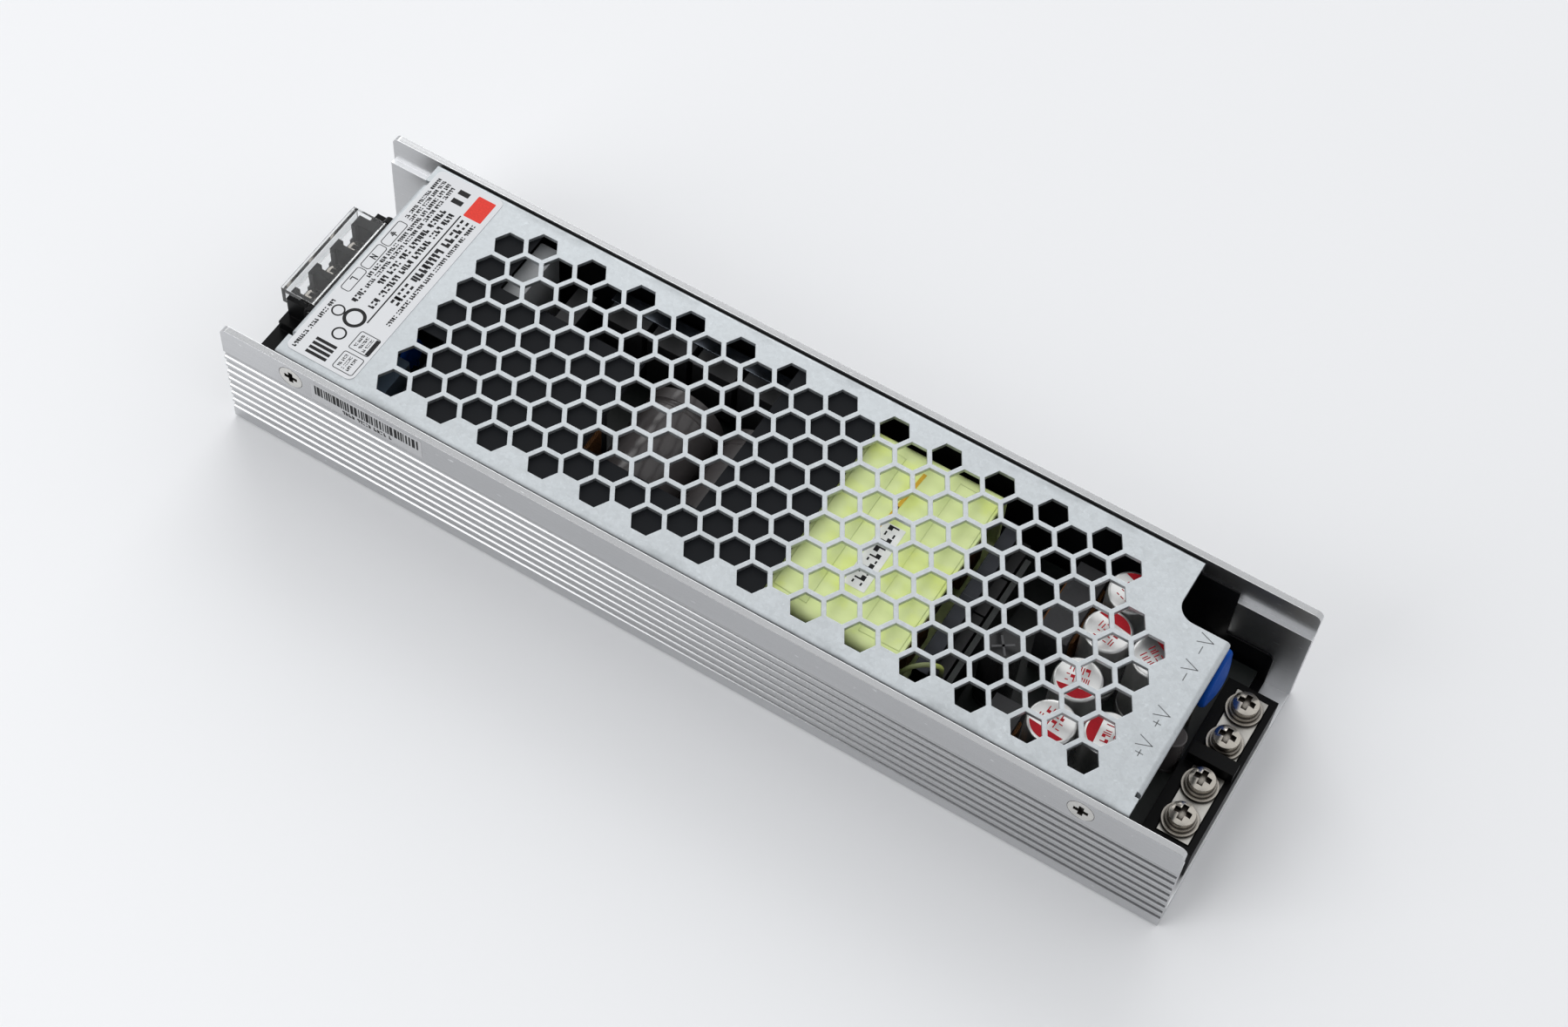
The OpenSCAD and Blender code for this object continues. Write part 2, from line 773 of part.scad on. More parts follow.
module chassis() {
    color("#b4b6b8")
        difference() {
            along_x(in_x, out_x)
                chassis_section();
            translate([out_x, 0, chassis_h])
                wall_end_round();
            mirror([1, 0, 0])
                translate([-in_x, 0, chassis_h])
                    wall_end_round();
            at_cover_screws()
                countersink();
            for (sx = [-1, 1])
                for (sy = [-1, 1])
                    translate([sx * mount_x / 2, sy * mount_y / 2, -cut])
                        cylinder(d = mount_d, h = floor_t + 2 * cut);
        }
}

// Perforated steel cover

module cover_outline(half, top, r, foot) {
    translate([-half, foot])
        square([2 * half, top - r - foot]);
    translate([-(half - r), foot])
        square([2 * (half - r), top - foot]);
    for (s = [-1, 1])
        translate([s * (half - r), top - r])
            circle(r);
}

module cover_section() {
    difference() {
        cover_outline(cover_half_w, cover_z, fold_r, ledge_z);
        cover_outline(cover_half_w - cover_t, cover_under_z, fold_r - cover_t, ledge_z - cut);
    }
}

// The lip folded down at x = 0, with the cover towards +X
module cover_lip(y0, y1) {
    along_y(y0, y1)
        difference() {
            union() {
                translate([fold_r, cover_z - fold_r])
                    circle(fold_r);
                translate([0, cover_z - lip_drop])
                    square([fold_r, lip_drop - fold_r]);
                translate([fold_r, cover_under_z])
                    square([cut, cover_t]);
            }
            translate([cover_t, cover_z - lip_drop - cut])
                square([fold_r, cut + lip_drop - fold_r]);
            translate([fold_r, cover_z - fold_r])
                circle(fold_r - cover_t);
            translate([fold_r, cover_z - 2 * fold_r])
                square([2 * fold_r, 2 * fold_r - cover_t]);
        }
}

module perforation() {
    for (i = [0 : hole_cols])
        for (k = [0 : hole_rows - 1]) {
            x = hole_x0 + i * hole_dx;
            y = (k - (hole_rows - 1) / 2) * hole_pitch + (i % 2 == 0 ? -1 : 1) * hole_pitch / 4;
            if (x < notch_x - hole_pitch || y < notch_y - hole_af / 2)
                translate([x, y])
                    circle(d = hole_af / cos(30), $fn = 6);
        }
}

module corner_notch() {
    reach = chassis_w;
    translate([notch_x + notch_r, notch_y])
        square(reach);
    translate([notch_x, notch_y + notch_r])
        square(reach);
    translate([notch_x + notch_r, notch_y + notch_r])
        circle(notch_r);
}

module top_cover() {
    color("#c8cdd0") {
        difference() {
            along_x(cover_x0, cover_x1)
                cover_section();
            translate([0, 0, ledge_z - cut])
                linear_extrude(chassis_h - ledge_z + cut)
                    corner_notch();
            translate([0, 0, cover_under_z - cut])
                linear_extrude(cover_t + 2 * cut)
                    perforation();
            bar([cover_x0 - cut, cover_x0 + fold_r],
                [-in_lip_half - relief_w, in_lip_half + relief_w],
                [cover_under_z - cut, chassis_h]);
            bar([cover_x1 - fold_r, cover_x1 + cut],
                [-out_lip_near - relief_w, notch_y + cut],
                [cover_under_z - cut, chassis_h]);
            at_cover_screws()
                cylinder(d = cover_screw_d + fit_gap, h = wall_top_t + cover_t + 2 * cut);
        }
        translate([cover_x0, 0, 0])
            cover_lip(-in_lip_half, in_lip_half);
        mirror([1, 0, 0])
            translate([-cover_x1, 0, 0])
                cover_lip(-out_lip_near, notch_y);
    }
}

module cover_screws() {
    color("#d0d0cc")
        at_cover_screws()
            difference() {
                union() {
                    cylinder(d = cover_head_d, h = cover_head_h - cover_taper_h);
                    translate([0, 0, cover_head_h - cover_taper_h])
                        cylinder(d1 = cover_head_d, d2 = cover_screw_d, h = cover_taper_h);
                    cylinder(d = cover_screw_d, h = cover_screw_l);
                }
                mirror([0, 0, 1])
                    cross_recess(cover_head_d * 0.56, cover_head_h * 0.7);
            }
}

module rating_label() {
    color("#eceeee")
        round_bar([cover_x0 + fold_r + label_l / 2 + fit_gap, label_y],
                  [label_l, label_w + chassis_w - standard_w, label_t], label_r, cover_z);
}

// Insulation

module insulating_film() {
    low_x0 = cover_x1 - film_step;
    high_z = cover_under_z - film_below_cover;
    film_x1 = out_x - film_out;
    screw_room = cover_screw_d / 2 + 0.7;
    color("#16171a") {
        difference() {
            bar([board_x0, film_x1], [-film_wall_y, film_wall_y], [floor_t, film_floor_z]);
            for (p = spacers_at)
                translate([p[0], p[1], floor_t - cut])
                    cylinder(d = spacer_d + 2 * fit_gap, h = film_t + 2 * cut);
        }
        difference() {
            both_sides()
                along_y(film_wall_y - film_t, film_wall_y) {
                    translate([in_x + film_in, film_floor_z - film_t])
                        square([low_x0 - in_x - film_in, high_z - film_floor_z + film_t]);
                    translate([low_x0 - cut, film_floor_z - film_t])
                        square([film_x1 - low_x0 + cut, film_low_h - film_corner_r - film_floor_z + film_t]);
                    translate([low_x0 - cut, film_floor_z])
                        square([film_x1 - film_corner_r - low_x0 + cut, film_low_h - film_floor_z]);
                    translate([film_x1 - film_corner_r, film_low_h - film_corner_r])
                        circle(film_corner_r);
                }
            for (p = cover_screws_at)
                bar([p[0] - screw_room, p[0] + screw_room], p[1] > 0 ? [0, half_w] : [-half_w, 0],
                    [cover_screw_z - screw_room, chassis_h]);
        }
    }
}

// The sheet has a stepped window over the bulk capacitors and a cut-off corner near the input
module insulating_sheet() {
    sheet_side = 1.8;
    sheet_in = 17.2;
    lap = 0.6;
    over_relay = 0.9;
    over_bulk = 10.7;
    step_near = 12.5;
    corner_l = 9.8;
    corner_y = -8;
    sheet_half = cover_half_w - cover_t - sheet_side;
    sheet_x0 = cover_x0 + sheet_in;
    sheet_x1 = trafo_x0 + lap;
    window_x = [relay_at[0] - relay_l / 2 + lap, bulk_x1 - over_bulk];
    window_y = relay_at[1] - relay_w / 2 - over_relay;
    step_x = bulk_x0 - lap;
    step_y = step_near - board_half_w;
    color("#26272b")
        translate([0, 0, cover_under_z - sheet_t])
            linear_extrude(sheet_t)
                difference() {
                    translate([sheet_x0, -sheet_half])
                        square([sheet_x1 - sheet_x0, 2 * sheet_half]);
                    translate([window_x[0], window_y])
                        square([window_x[1] - window_x[0], chassis_w]);
                    translate([step_x, step_y])
                        square([window_x[1] - step_x, chassis_w]);
                    translate([sheet_x0 - cut, corner_y - chassis_w])
                        square([corner_l + cut, chassis_w]);
                }
}

// Circuit board and what holds it

module circuit_board() {
    color("#161b1c")
        difference() {
            bar([board_x0, board_x1], [-board_half_w, board_half_w], [board_z0, board_z]);
            for (p = spacers_at)
                translate([p[0], p[1], board_z0 - cut])
                    cylinder(d = board_screw_d + 2 * fit_gap, h = board_t + 2 * cut);
        }
}

module board_spacers() {
    color("#c9c6b4")
        for (p = spacers_at)
            translate([p[0], p[1], floor_t])
                washer(spacer_d, spacer_bore_d, spacer_h);
}

module board_screws() {
    color("#c8c8c4")
        for (p = spacers_at)
            translate([p[0], p[1], board_z])
                pan_screw(board_screw_d, board_screw_l, board_head_d, board_head_h);
}

// Input terminals

module bay_cut(y) {
    translate([0, y, bay_z])
        linear_extrude(lid_z) {
            translate([in_x - cut, -throat_half])
                square([barrier_x0 + barrier_lip_l - in_x + 2 * cut, 2 * throat_half]);
            translate([barrier_x0 + barrier_lip_l, -bay_half])
                square([bay_x1 - barrier_x0 - barrier_lip_l, 2 * bay_half]);
        }
}

module hinge_ear() {
    ear_r = knuckle_r + 0.4;
    root = 1;
    along_y(ear_y0, ear_y0 + ear_t) {
        translate([lid_hinge_x, lid_hinge_z])
            circle(ear_r);
        translate([lid_hinge_x - ear_r, shoulder_z - root])
            square([2 * ear_r, lid_hinge_z - shoulder_z + root]);
    }
}

module hinge_axis(y0, y1, r) {
    translate([lid_hinge_x, y1, lid_hinge_z])
        rotate([90, 0, 0])
            cylinder(r = r, h = y1 - y0);
}

module input_terminal_block() {
    pin_reach = ear_t + 2 * cut;
    flange_front = 0.8;
    root = 1;
    color("#141416")
        difference() {
            union() {
                bar([in_block_x0, in_block_x1], [-in_half, in_half], [board_z, shoulder_z]);
                bar([in_block_x0 - flange_front, in_block_x1], [-in_half - flange_w, in_half + flange_w],
                    [flange_z - flange_t, flange_z]);
                bar([barrier_x0, in_block_x1], [-barriers_half, barriers_half],
                    [shoulder_z - root, barrier_z]);
                both_sides()
                    hinge_ear();
            }
            for (y = poles_y)
                bay_cut(y);
            for (y = poles_y)
                translate([in_screw_x, y, in_head_z - in_screw_l - cut])
                    cylinder(d = in_screw_d + 2 * fit_gap, h = in_screw_l);
            both_sides()
                hinge_axis(ear_y0 - cut, ear_y0 - cut + pin_reach, hinge_r + hinge_clear);
        }
}

module input_contacts() {
    color("#cfcabb")
        for (y = poles_y)
            difference() {
                union() {
                    bar([barrier_x0 + fit_gap, bay_x1 - fit_gap],
                        [y - throat_half + fit_gap, y + throat_half - fit_gap], [bay_z, contact_z]);
                    bar([bay_x1 - contact_t - fit_gap, bay_x1 - fit_gap],
                        [y - throat_half + fit_gap, y + throat_half - fit_gap], [bay_z, shoulder_z]);
                }
                translate([in_screw_x, y, bay_z - cut])
                    cylinder(d = in_screw_d + 2 * fit_gap, h = contact_t + 2 * cut);
            }
}

module input_wire_clamps() {
    clamp_half = in_head_d / 2 - 0.4;
    side_gap = 0.3;
    color("#d6d2c4")
        for (y = poles_y)
            difference() {
                bar([barrier_x0 + barrier_lip_l + fit_gap, in_screw_x + clamp_half],
                    [y - bay_half + side_gap, y + bay_half - side_gap], [contact_z, in_head_z]);
                translate([in_screw_x, y, contact_z - cut])
                    cylinder(d = in_screw_d + 2 * fit_gap, h = clamp_t + 2 * cut);
            }
}

module input_screws() {
    color("#dadada")
        for (y = poles_y)
            translate([in_screw_x, y, in_head_z])
                pan_screw(in_screw_d, in_screw_l, in_head_d, in_head_h);
}

module input_lid() {
    color("#dfe6ea", 0.4) {
        bar([lid_x0, lid_x1], [-lid_w / 2, lid_w / 2], [lid_z - lid_t, lid_z]);
        bar([lid_x0, lid_x0 + skirt_t], [-lid_w / 2, lid_w / 2], [lid_z - skirt_h, lid_z]);
        hinge_axis(-lid_w / 2, lid_w / 2, knuckle_r);
        hinge_axis(-ear_y0 - ear_t, ear_y0 + ear_t, hinge_r);
    }
}

// Output terminals

module output_terminal_block() {
    half = out_block_w / 2;
    barrier_back = 0.7;
    barrier_front = 0.4;
    color("#121214")
        difference() {
            union() {
                bar([out_block_x0, out_block_x1], [-half, half], [film_floor_z, seat_z]);
                bar([out_block_x0, out_block_x0 + out_back_t], [-half, half], [film_floor_z, out_rim_z]);
                bar([out_block_x1 - out_rim_t, out_block_x1], [-half, half], [film_floor_z, out_rim_z]);
                both_sides()
                    bar([out_block_x0, out_block_x1], [half - out_rim_t, half], [film_floor_z, out_rim_z]);
                bar([out_block_x0 + barrier_back, out_block_x1 - barrier_front],
                    [-out_barrier_t / 2, out_barrier_t / 2], [film_floor_z, out_barrier_z]);
            }
            // The back of the block stands on the board, and the busbars' legs go through it
            bar([out_block_x0 - cut, board_x1 + fit_gap], [-half - cut, half + cut],
                [film_floor_z - cut, board_z]);
            both_sides()
                bar([busbar_x0 - fit_gap, busbar_leg_x1 + fit_gap],
                    [busbar_leg_y[0] - fit_gap, busbar_leg_y[1] + fit_gap], [board_z - cut, seat_z + cut]);
            for (y = out_screws_y) {
                translate([out_screw_x, y, out_head_z - out_screw_l - cut])
                    cylinder(d = out_screw_d + 4 * fit_gap, h = out_screw_l);
                bar([out_screw_x - nut_w / 2 - fit_gap, out_screw_x + nut_w / 2 + fit_gap],
                    [y - nut_w / 2 - fit_gap, y + nut_w / 2 + fit_gap], [seat_z - nut_t, seat_z + cut]);
            }
        }
}

module busbar() {
    difference() {
        union() {
            bar([busbar_x0, busbar_x1], [busbar_y0, busbar_y1], [seat_z, busbar_z]);
            bar([busbar_x0, busbar_leg_x1], busbar_leg_y, [board_z, busbar_z]);
        }
        for (k = [0, 1])
            translate([out_screw_x, out_screw_y + k * out_screw_pitch, seat_z - cut])
                cylinder(d = out_screw_d + 4 * fit_gap, h = busbar_t + 2 * cut);
    }
}

module positive_busbar() {
    color("#d3d0c6")
        mirror([0, 1, 0])
            busbar();
}

module negative_busbar() {
    color("#d3d0c6")
        busbar();
}

module output_nuts() {
    color("#c9b26a")
        for (y = out_screws_y)
            difference() {
                bar([out_screw_x - nut_w / 2, out_screw_x + nut_w / 2], [y - nut_w / 2, y + nut_w / 2],
                    [seat_z - nut_t, seat_z]);
                translate([out_screw_x, y, seat_z - nut_t - cut])
                    cylinder(d = out_screw_d + fit_gap, h = nut_t + 2 * cut);
            }
}

module output_flat_washers() {
    color("#d8d6d0")
        for (y = out_screws_y)
            translate([out_screw_x, y, busbar_z])
                washer(flat_washer_d, out_screw_d + 2 * fit_gap, flat_washer_t);
}

module output_spring_washers() {
    split = 0.6;
    color("#cfcdc6")
        for (y = out_screws_y)
            translate([out_screw_x, y, spring_z])
                difference() {
                    washer(spring_washer_d, out_screw_d + 2 * fit_gap, spring_washer_t);
                    rotate([0, 0, 35])
                        translate([0, -split / 2, -cut])
                            cube([spring_washer_d, split, spring_washer_t + 2 * cut]);
                }
}

module output_screws() {
    color("#dedcd6")
        for (y = out_screws_y)
            translate([out_screw_x, y, out_head_z])
                pan_screw(out_screw_d, out_screw_l, out_head_d, out_head_h);
}

// Mains side

module mains_fuse() {
    cap_l = 5;
    color("#e8e4da")
        translate([fuse_at[0], fuse_at[1] + fuse_l / 2, fuse_z])
            rotate([90, 0, 0]) {
                cylinder(d = fuse_d - 0.4, h = fuse_l);
                cylinder(d = fuse_d, h = cap_l);
                translate([0, 0, fuse_l - cap_l])
                    cylinder(d = fuse_d, h = cap_l);
            }
}

module fuse_clips() {
    clip_l = 4;
    clip_end = 0.5;
    clip_w = fuse_d + 2 * fit_gap + 2 * clip_t;
    mouth = fuse_d - 0.8;
    color("#d2b867")
        for (s = [-1, 1])
            translate([fuse_at[0], fuse_at[1] + s * (fuse_l / 2 - clip_end - clip_l / 2), 0])
                along_y(-clip_l / 2, clip_l / 2)
                    difference() {
                        translate([-clip_w / 2, board_z])
                            square([clip_w, fuse_d + fuse_lift]);
                        translate([0, fuse_z])
                            circle(d = fuse_d + 2 * fit_gap);
                        translate([-mouth / 2, fuse_z])
                            square([mouth, fuse_d]);
                    }
}

// A disc on two wires, thin along X
module wired_disc(place, d, t, pitch) {
    translate([place[0], place[1], board_z + disc_lift + d / 2])
        edge_disc(d, t);
    leads([for (s = [-1, 1]) [place[0] + t / 2, place[1] + s * pitch / 2]], board_z + d / 2, lead_d);
}

module varistor() {
    color("#2f62b8")
        wired_disc(varistor_at, varistor_d, varistor_t, varistor_d / 2);
}

module filter_disc_capacitors() {
    color("#3a74c4")
        for (y = y_caps_y)
            wired_disc([in_x + y_cap_in, y], y_cap_d, y_cap_t, y_cap_d / 2);
}

module mains_film_capacitor() {
    edge_r = 0.6;
    color("#5f7284")
        round_bar(film_cap_at, [film_cap_l, film_cap_w, film_cap_h], edge_r, board_z);
}

module emi_ring(d, w) {
    translate([emi_at[0], emi_at[1] + w / 2, emi_z])
        rotate([90, 0, 0])
            cylinder(d = d, h = w);
}

module emi_core_ring(gap) {
    difference() {
        emi_ring(emi_d - 2 * emi_wire + 2 * gap, emi_w - 2 * emi_wire + 2 * gap);
        emi_ring(emi_d - 2 * emi_wire - 2 * emi_ring_t - 2 * gap, emi_w + 2 * cut);
    }
}

module filter_choke_core() {
    color("#4a6a55")
        emi_core_ring(0);
}

// Two windings around the core, apart at the top and the bottom, with their wires to the board
module filter_choke_windings() {
    apart = 3.2;
    tail_d = emi_wire * 0.7;
    wire_x = emi_d / 2 - emi_wire / 2;
    wire_y = emi_w / 2 - emi_wire / 2;
    color("#b46a34") {
        difference() {
            emi_ring(emi_d, emi_w);
            emi_ring(emi_d - 4 * emi_wire - 2 * emi_ring_t, emi_w + 2 * cut);
            emi_core_ring(fit_gap);
            bar([emi_at[0] - apart / 2, emi_at[0] + apart / 2], [-chassis_w, chassis_w], [0, emi_z + emi_d]);
        }
        for (sx = [-1, 1])
            for (sy = [-1, 1])
                leads([emi_at + [sx * wire_x, sy * wire_y]], emi_z, tail_d);
    }
}

module inrush_relay() {
    edge_r = 0.4;
    color("#d9dadb")
        round_bar(relay_at, [relay_l, relay_w, cover_under_z - relay_clear - board_z], edge_r, board_z);
}

module bridge_rectifier() {
    pins = 4;
    pin_pitch = bridge_w / pins;
    color("#17171a") {
        bar([bridge_at[0] - bridge_t / 2, bridge_at[0] + bridge_t / 2],
            [bridge_at[1] - bridge_w / 2, bridge_at[1] + bridge_w / 2],
            [board_z + lead_h, board_z + lead_h + bridge_h]);
        leads([for (i = [0 : pins - 1]) bridge_at + [0, (i - (pins - 1) / 2) * pin_pitch]],
              board_z + lead_h, lead_d);
    }
}

// A ferrite frame open along X, standing on the board
module frame_core(at, size, wall) {
    difference() {
        translate([at[0] - size[0] / 2, at[1] - size[1] / 2, board_z])
            cube(size);
        translate([at[0] - size[0], at[1] - size[1] / 2 + wall, board_z + wall])
            cube([2 * size[0], size[1] - 2 * wall, size[2] - 2 * wall]);
    }
}

// The winding that fills a ferrite frame and stands out of it at both ends
module frame_winding(at, size, wall, overhang) {
    edge_r = 0.8;
    round_bar(at, [size[0] + 2 * overhang, size[1] - 2 * wall - 2 * fit_gap, size[2] - 2 * wall - fit_gap],
              edge_r, board_z + wall);
}

module boost_choke_core() {
    color("#303236")
        frame_core(boost_at, [pfc_l, pfc_w, pfc_h], pfc_wall);
}

module boost_choke_winding() {
    color("#c8a83c")
        frame_winding(boost_at, [pfc_l, pfc_w, pfc_h], pfc_wall, boost_overhang);
}

module mains_heatsink() {
    color("#3a3f48")
        bar([sink_x0, sink_x1], [sink_y1 - sink_t, sink_y1], [board_z, board_z + sink_h]);
}

module power_transistors() {
    y1 = sink_y1 - sink_t;
    color("#1b1b1e")
        for (x = transistors_x) {
            bar([x - transistor_w / 2, x + transistor_w / 2], [y1 - transistor_t, y1],
                [board_z + lead_h, board_z + lead_h + transistor_h]);
            leads([for (k = [-1 : 1]) [x + k * lead_pitch, y1 - transistor_t / 2]], board_z + lead_h, lead_d);
        }
}

module bulk_capacitors() {
    color("#4c4a4c")
        for (x = bulk_x)
            translate([x, bulk_y1, board_z + fit_gap + bulk_d / 2])
                rotate([90, 0, 0])
                    can(bulk_d, bulk_l);
}

// Transformer

module transformer_base() {
    base_end = 1.4;
    base_side = 2.4;
    color("#1a1a1c")
        bar([trafo_x0 + base_end, trafo_x1 - base_end],
            [-trafo_w / 2 + base_side, trafo_w / 2 - base_side], [board_z, trafo_z0]);
}

module wrap_section(inset) {
    translate([0, (trafo_z0 + trafo_z1) / 2])
        round_rect(trafo_w - 2 * inset, trafo_z1 - trafo_z0 - 2 * inset, wrap_r - inset);
}

module transformer_wrap() {
    color("#dcec9e")
        along_x(trafo_x0, trafo_x1)
            difference() {
                wrap_section(0);
                wrap_section(wrap_t);
            }
}

// Half widths of the core's middle leg and of its winding windows
core_leg = trafo_w * 0.14;
core_window = trafo_w * 0.34;
core_yoke = 3.4;

module core_windows(gap) {
    z = [trafo_z0 + wrap_t + core_yoke - gap, trafo_z1 - wrap_t - core_yoke + gap];
    both_sides()
        bar([trafo_x - trafo_l, trafo_x + trafo_l], [core_leg - gap, core_window + gap], z);
}

module transformer_core() {
    core_end = 2.5;
    color("#2c2e31")
        difference() {
            along_x(trafo_x0 + core_end, trafo_x1 - core_end)
                wrap_section(wrap_t);
            core_windows(0);
        }
}

module transformer_coil() {
    coil_end = 0.6;
    color("#b87333")
        intersection() {
            core_windows(-fit_gap);
            bar([trafo_x0 + coil_end, trafo_x1 - coil_end], [-half_w, half_w], [0, chassis_h]);
        }
}

// Output side

module rectifier_heatsink() {
    color("#24262a")
        bar([rect_sink_x, rect_sink_x + sink_t], [-rect_sink_w / 2, rect_sink_w / 2],
            [board_z, board_z + sink_h]);
}

module rectifier_transistors() {
    x0 = rect_sink_x + sink_t;
    color("#161618")
        for (y = rects_y) {
            bar([x0, x0 + rect_t], [y - transistor_w / 2, y + transistor_w / 2],
                [board_z + lead_h, board_z + lead_h + rect_h]);
            leads([for (k = [-1 : 1]) [x0 + rect_t / 2, y + k * lead_pitch]], board_z + lead_h, lead_d);
        }
}

module control_board() {
    color("#161b1c")
        bar([control_x, control_x + control_t], [control_y - control_w / 2, control_y + control_w / 2],
            [board_z, board_z + control_h]);
}

module auxiliary_capacitor() {
    color("#202022")
        translate([aux_cap_at[0], aux_cap_at[1], board_z])
            can(aux_cap_d, out_cap_h - aux_cap_drop);
}

module output_choke_cores() {
    color("#35373b")
        for (c = chokes_at)
            frame_core(c, [choke_l, c[2], choke_h], choke_wall);
}

module output_choke_coils() {
    color("#c98a4b")
        for (c = chokes_at)
            frame_winding(c, [choke_l, c[2], choke_h], choke_wall, choke_overhang);
}

module output_capacitors() {
    color("#c2c2c0")
        for (p = out_caps_at)
            translate([p[0], p[1], board_z])
                can(out_cap_d, out_cap_h);
}

module filter_capacitor() {
    color("#3c3a3c")
        translate([filter_cap_at[0], filter_cap_at[1], board_z])
            can(filter_cap_d, filter_cap_h);
}

module disc_capacitor() {
    color("#1f5fc0") {
        translate([disc_x0, disc_y, disc_z])
            edge_disc(disc_d, disc_t);
        leads([for (s = [-1, 1]) [disc_x0 + disc_lead_d, disc_y + s * disc_lead_pitch / 2]],
              disc_z, disc_lead_d);
    }
}

chassis();
top_cover();
cover_screws();
rating_label();
insulating_film();
insulating_sheet();
circuit_board();
board_spacers();
board_screws();
input_terminal_block();
input_contacts();
input_wire_clamps();
input_screws();
input_lid();
output_terminal_block();
positive_busbar();
negative_busbar();
output_nuts();
output_flat_washers();
output_spring_washers();
output_screws();
mains_fuse();
fuse_clips();
varistor();
filter_disc_capacitors();
mains_film_capacitor();
filter_choke_core();
filter_choke_windings();
inrush_relay();
bridge_rectifier();
boost_choke_core();
boost_choke_winding();
mains_heatsink();
power_transistors();
bulk_capacitors();
transformer_base();
transformer_core();
transformer_coil();
transformer_wrap();
rectifier_heatsink();
rectifier_transistors();
control_board();
auxiliary_capacitor();
output_choke_cores();
output_choke_coils();
output_capacitors();
filter_capacitor();
disc_capacitor();
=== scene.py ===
import math
import random
from types import SimpleNamespace

import bmesh
import bpy
from bpy.props import FloatProperty, FloatVectorProperty, IntProperty, PointerProperty
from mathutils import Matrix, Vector


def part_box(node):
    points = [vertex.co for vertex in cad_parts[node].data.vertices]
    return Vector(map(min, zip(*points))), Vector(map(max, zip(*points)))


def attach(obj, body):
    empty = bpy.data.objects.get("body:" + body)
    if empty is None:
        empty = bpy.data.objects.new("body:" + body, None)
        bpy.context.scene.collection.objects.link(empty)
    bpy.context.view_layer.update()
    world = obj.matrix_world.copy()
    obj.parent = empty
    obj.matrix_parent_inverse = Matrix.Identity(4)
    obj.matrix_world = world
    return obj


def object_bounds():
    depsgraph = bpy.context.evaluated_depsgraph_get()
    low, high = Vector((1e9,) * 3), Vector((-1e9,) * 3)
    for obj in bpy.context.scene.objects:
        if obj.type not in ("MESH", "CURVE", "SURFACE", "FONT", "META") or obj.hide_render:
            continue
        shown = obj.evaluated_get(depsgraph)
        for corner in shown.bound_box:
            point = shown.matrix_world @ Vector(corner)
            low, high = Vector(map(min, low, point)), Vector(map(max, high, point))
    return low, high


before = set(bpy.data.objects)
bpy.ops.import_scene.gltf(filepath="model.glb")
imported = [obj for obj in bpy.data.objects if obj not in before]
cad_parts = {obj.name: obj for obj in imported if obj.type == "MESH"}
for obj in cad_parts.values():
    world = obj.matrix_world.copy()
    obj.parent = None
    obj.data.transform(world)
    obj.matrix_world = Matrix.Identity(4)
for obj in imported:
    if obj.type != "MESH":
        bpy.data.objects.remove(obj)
CAD_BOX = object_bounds()

bl_info = {
    "name": "Slim Power Supply",
    "version": (1, 0, 0),
    "blender": (4, 5, 0),
    "location": "View3D > Sidebar > Supply",
    "description": "Finishes, print and studio for a slim enclosed power supply",
    "category": "Object",
}

MM = 0.001
HOUSING = "housing"
SENSOR_WIDTH = 36.0

# Grime and painted shade along the sides of the cover, in metres from its middle line: where they
# start and where they are full
GRIME_AND_SHADE_START = 0.0265
GRIME_AND_SHADE_FULL = 0.0293

# How far printed shapes reach into what carries them, in millimetres
SUNK = 0.004

# Colours of what shows only through the holes of the cover
BOARD = (0.007, 0.010, 0.009)
SPACER = (0.70, 0.68, 0.60)
CERAMIC = (0.78, 0.75, 0.68)
BRASS = (0.62, 0.47, 0.20)
FILM_BOX = (0.10, 0.14, 0.19)
RELAY_BOX = (0.36, 0.37, 0.38)
RECTIFIER = (0.012, 0.012, 0.013)
BLACK_RESIN = (0.014, 0.014, 0.015)
FERRITE = (0.030, 0.030, 0.033)
COPPER = (0.30, 0.13, 0.045)
BRIGHT_HEATSINK = (0.30, 0.33, 0.38)
DARK_HEATSINK = (0.040, 0.042, 0.048)
GREY_SLEEVE = (0.075, 0.068, 0.068)
BLACK_SLEEVE = (0.016, 0.016, 0.017)
VENT_SCORE = (0.11, 0.11, 0.115)

# Colours of small details
LEAD_WIRE = (0.10, 0.095, 0.085)
# Painted shade in the recesses of screws and between washers
RECESS_SHADE = (0.022, 0.015, 0.011)
DUST = (0.5, 0.5, 0.5)
STRETCHED_TAPE = (0.88, 1.0, 0.18)
TAPE_SEAM = (0.80, 0.47, 0.05)
PAPER = (0.95, 0.95, 0.94)
SILVER_STOCK = (0.50, 0.505, 0.515)
# Painted shade in the marks stamped into the cover
STAMP_SHADE = (0.13, 0.135, 0.14)
DIM_SKY = (0.15, 0.155, 0.165)
BRIGHT_SKY = (0.98, 0.99, 1.0)


def rgba(colour):
    """A colour property as the four numbers that a colour socket takes."""
    return (*tuple(colour)[:3], 1.0)


def shade_of(colour, share):
    """The same colour, lighter or darker by a share."""
    return tuple(min(1.0, c * share) for c in tuple(colour)[:3])


# Shader maths


class Value:
    """A shader value: arithmetic on values adds Math nodes to their graph."""

    def __init__(self, graph, socket):
        self.graph = graph
        self.socket = socket

    def _math(self, operation, first, second):
        settings = {"operation": operation}
        return self.graph.node("ShaderNodeMath", settings, {0: first, 1: second})

    def __add__(self, other):
        return self._math("ADD", self, other)

    def __radd__(self, other):
        return self._math("ADD", other, self)

    def __sub__(self, other):
        return self._math("SUBTRACT", self, other)

    def __rsub__(self, other):
        return self._math("SUBTRACT", other, self)

    def __mul__(self, other):
        return self._math("MULTIPLY", self, other)

    def __rmul__(self, other):
        return self._math("MULTIPLY", other, self)


